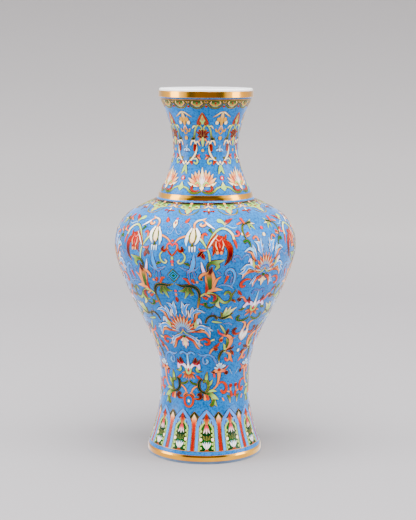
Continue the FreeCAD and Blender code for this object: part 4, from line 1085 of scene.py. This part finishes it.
def shoulder():
    n, turn = SHOULDER_UNITS, SHOULDER_TURN
    ring("shoulder_green_band", belt(SHOULDER_BASE, 52.6, 3.6, "sage pale sage pale sage"), 1, 0,
         "pale_green_enamel")
    ring("shoulder_ruyi", shoulder_heads(), n, turn, "pale_green_enamel", "shoulder_ruyi_heads")
    ring("shoulder_floret", shoulder_florets(), n, turn + 180 / n, "red_enamel", "shoulder_florets")


# ---- foot motifs ----------------------------------------------------------------------

FOOT_BASE = 10.0
FOOT_UNITS = 12
FOOT_TURN = 2.5


def foot_panels():
    m = Motif(FOOT_BASE)
    m.pair([(10.9, 4, 2.8), (10.8, 20, 2.9), (10.4, 29, 3), (8.4, 35.5, 3.3), (4.8, 39.6, 3.4),
            (1.5, 43.2, 2.8), (0.05, 45, 1.1)], "sky azure sky", 2)
    m.pair([(7.6, 30.4, 1.5), (7.6, 33.6, 1.9), (6.2, 35.4, 2.1), (4.4, 34.4, 2), (4.6, 32.4, 1.3)],
           "azure sky sky", 3)
    m.spine([(3.4, 18), (11, 18), (20, 17.4), (28, 15), (34, 6)], "pale", flat=True)
    m.spine([(3.4, 13), (11, 13.2), (20, 12.6), (27, 10.8), (31.4, 5)],
            "dark green dark green dark", 1, flat=True)
    for v in (6.4, 10.6, 19.6, 23.8):
        m.dot(6.3, v, 1.2, "pale", 3)
    m.spine([(41.8, 0.7), (38, 3.5), (34.6, 3), (31, 2.6)], "red red peach", 3)
    m.pair([(1, 36, 2.6), (3.4, 35, 2.1), (5.6, 34.4, 0.6)], "red peach", 2)
    m.spine([(29, 3.2), (25, 2.4), (21, 0.6)], "magenta rose white", 4)
    m.pair([(1, 28.6, 2.2), (2, 25, 2), (3.6, 21.6, 0.5)], "magenta rose white", 3)
    m.spine([(18.6, 1), (15, 1.4)], "green sage", 2)
    m.pair([(3.4, 18.4, 1), (2.4, 15.6, 1.3)], "green", 2)
    m.dot(6.6, 15.2, 1.7, "cream", 3)
    m.pair([(0.8, 6, 1.2), (2.8, 9, 2), (4.6, 12, 0.5)], "lilac white white", 2)
    m.pair([(0.4, 6, 1), (1.4, 9.6, 1.9), (2.4, 13, 0.5)], "lilac white ice", 3)
    m.spine([(6, 1), (9.2, 2), (12.6, 0.5)], "lilac white white", 4)
    m.spine([(3.9, 4.2), (5, 2.2)], "red", 5, flat=True)
    return m


def foot_bars():
    m = Motif(FOOT_BASE)
    m.pair([(1.9, 3.4, 0.9), (2, 16, 0.9), (2.2, 27, 0.9), (3.2, 33, 0.8)], "cream")
    m.spine([(3, 3.2), (16, 3), (28, 3.2), (33, 4.8), (36, 6.2), (40.6, 0.7)],
            "red red orange peach cream", 1, flat=True)
    return m


def foot_chevrons():
    m = Motif(FOOT_BASE)
    m.pair([(6.2, 35.8, 1.9), (3.2, 39.4, 2.2), (0.05, 42.8, 1.6)], "dark", 2)
    return m


def foot():
    n, turn = FOOT_UNITS, FOOT_TURN
    place("foot_panel", foot_panels(), n, turn, "pale_green_enamel", "foot_lappet_panels")
    ring("foot_bar", foot_bars(), n, turn + 180 / n, "red_enamel", "foot_lappet_bars")
    ring("foot_chevron", foot_chevrons(), n, turn + 180 / n, "dark_green_enamel", "foot_chevrons")


body()
neck()
shoulder()
foot()


# ---- camera, lights, floor ------------------------------------------------------------

# How bright the tent is from the camera's side (0) to the far side (1).
TENT = ((0.08, 0.07), (0.13, 0.08), (0.19, 0.9), (0.3, 1.5), (0.45, 1.6), (0.6, 1.0), (0.8, 0.6))
TENT_STRENGTH = 2.85

# The backdrop paper's colour from under the vase (0) out to its far edge (1).
# Painted light and shade: darker near the vase, brightest where the flat floor meets the sweep,
# darker again up the sweep.
PAPER = (
    (0, (143, 140, 142)),
    (0.25, (152, 148, 151)),
    (0.45, (178, 174, 174)),
    (0.6, (170, 166, 167)),
    (0.8, (137, 134, 135)),
    (1, (131, 128, 129)),
)
FLAT_REACH = 1.8  # metres out to where the paper starts to sweep up
SWEEP = 1.4  # radius of that sweep
PAPER_EDGE = 4.0  # metres up to the paper's top edge, and out to its last colour
PAPER_SIDES = 96


def add_camera():
    data = bpy.data.cameras.new("camera")
    data.sensor_fit = "VERTICAL"
    data.sensor_height = 36
    data.lens = 96.92
    camera = add_object("camera", data)
    camera.location = (0.0019, -1.449, 0.419)
    camera.rotation_euler = (math.radians(81.53), math.radians(-0.27), 0)
    bpy.context.scene.camera = camera


def area_light(name, place, size, power, mirrored, aim=(0, 0, 0.2)):
    data = bpy.data.lights.new(name, "AREA")
    data.shape = "RECTANGLE"
    data.size, data.size_y = size
    data.energy = power
    light = add_object(name, data)
    light.location = place
    light.visible_glossy = mirrored
    light.rotation_euler = (Vector(aim) - Vector(place)).to_track_quat("-Z", "Y").to_euler()


def paper_material():
    """Paper whose colour changes with the distance from the vase, as painted light and shade."""
    floor, tree, bsdf = shader("floor_paper", 0.9)
    away = add(tree, "VectorMath")
    away.operation = "LENGTH"
    tree.links.new(add(tree, "TexCoord").outputs["Object"], away.inputs[0])
    share = add(tree, "MapRange", Value=away.outputs["Value"], From_Max=PAPER_EDGE)
    near, far = PAPER[0][1], PAPER[-1][1]
    paper = ramp(tree, share.outputs["Result"], linear(near), linear(far), 0, 1)
    for position, colour in PAPER[1:-1]:
        paper.color_ramp.elements.new(position).color = (*linear(colour), 1)
    tree.links.new(paper.outputs["Color"], bsdf.inputs["Base Color"])
    return floor


def add_stage():
    """A round pale floor that sweeps up into a backdrop on every side."""
    profile = [(1.0, 0.0), (FLAT_REACH, 0.0)]
    for degrees in range(10, 91, 10):
        angle = math.radians(degrees)
        profile.append((FLAT_REACH + SWEEP * math.sin(angle), SWEEP * (1 - math.cos(angle))))
    profile.append((FLAT_REACH + SWEEP, PAPER_EDGE))
    points = [(0, 0, 0)]
    for r, z in profile:
        for k in range(PAPER_SIDES):
            angle = 2 * math.pi * k / PAPER_SIDES
            points.append((r * math.cos(angle), r * math.sin(angle), z))
    faces = [(0, 1 + k, 1 + (k + 1) % PAPER_SIDES) for k in range(PAPER_SIDES)]
    for row in range(len(profile) - 1):
        start = 1 + row * PAPER_SIDES
        for k in range(PAPER_SIDES):
            a, b = start + k, start + (k + 1) % PAPER_SIDES
            faces.append((a, a + PAPER_SIDES, b + PAPER_SIDES, b))
    mesh = bpy.data.meshes.new("studio_floor")
    mesh.from_pydata(points, [], faces)
    mesh.shade_smooth()
    mesh.materials.append(paper_material())
    stage = add_object("studio_floor", mesh)
    stage.visible_glossy = False
    stage.visible_shadow = False


def add_world():
    """A soft tent of light, dark where the photographer stands, with a pale floor below."""
    world = bpy.data.worlds.new("studio")
    bpy.context.scene.world = world
    world.use_nodes = True
    tree = world.node_tree
    split = add(tree, "SeparateXYZ", Vector=add(tree, "TexCoord").outputs["Generated"])
    along = add(tree, "MapRange", Value=split.outputs["Y"], From_Min=-1)
    tent = ramp(tree, along.outputs["Result"], (0.17, 0.13, 0.10), (0.5, 0.5, 0.5), 0.03, 1)
    for position, grey in TENT:
        tent.color_ramp.elements.new(position).color = (grey, grey, grey, 1)
    level = add(tree, "MapRange", Value=split.outputs["Z"], From_Min=-0.24, From_Max=-0.14)
    below = (0.95, 0.93, 0.93, 1)
    sky = mix_colours(tree, level.outputs["Result"], below, tent.outputs["Color"])
    background = tree.nodes["Background"]
    tree.links.new(sky, background.inputs["Color"])
    background.inputs["Strength"].default_value = TENT_STRENGTH


add_camera()
add_stage()
add_world()
area_light("left_softbox", (-1.5, -0.28, 0.5), (0.7, 1.3), 34, True)
area_light("right_softbox", (1.5, -0.36, 0.5), (0.6, 1.3), 30, True)
area_light("top_softbox", (0, -0.5, 1.9), (1.4, 1.2), 100, False)
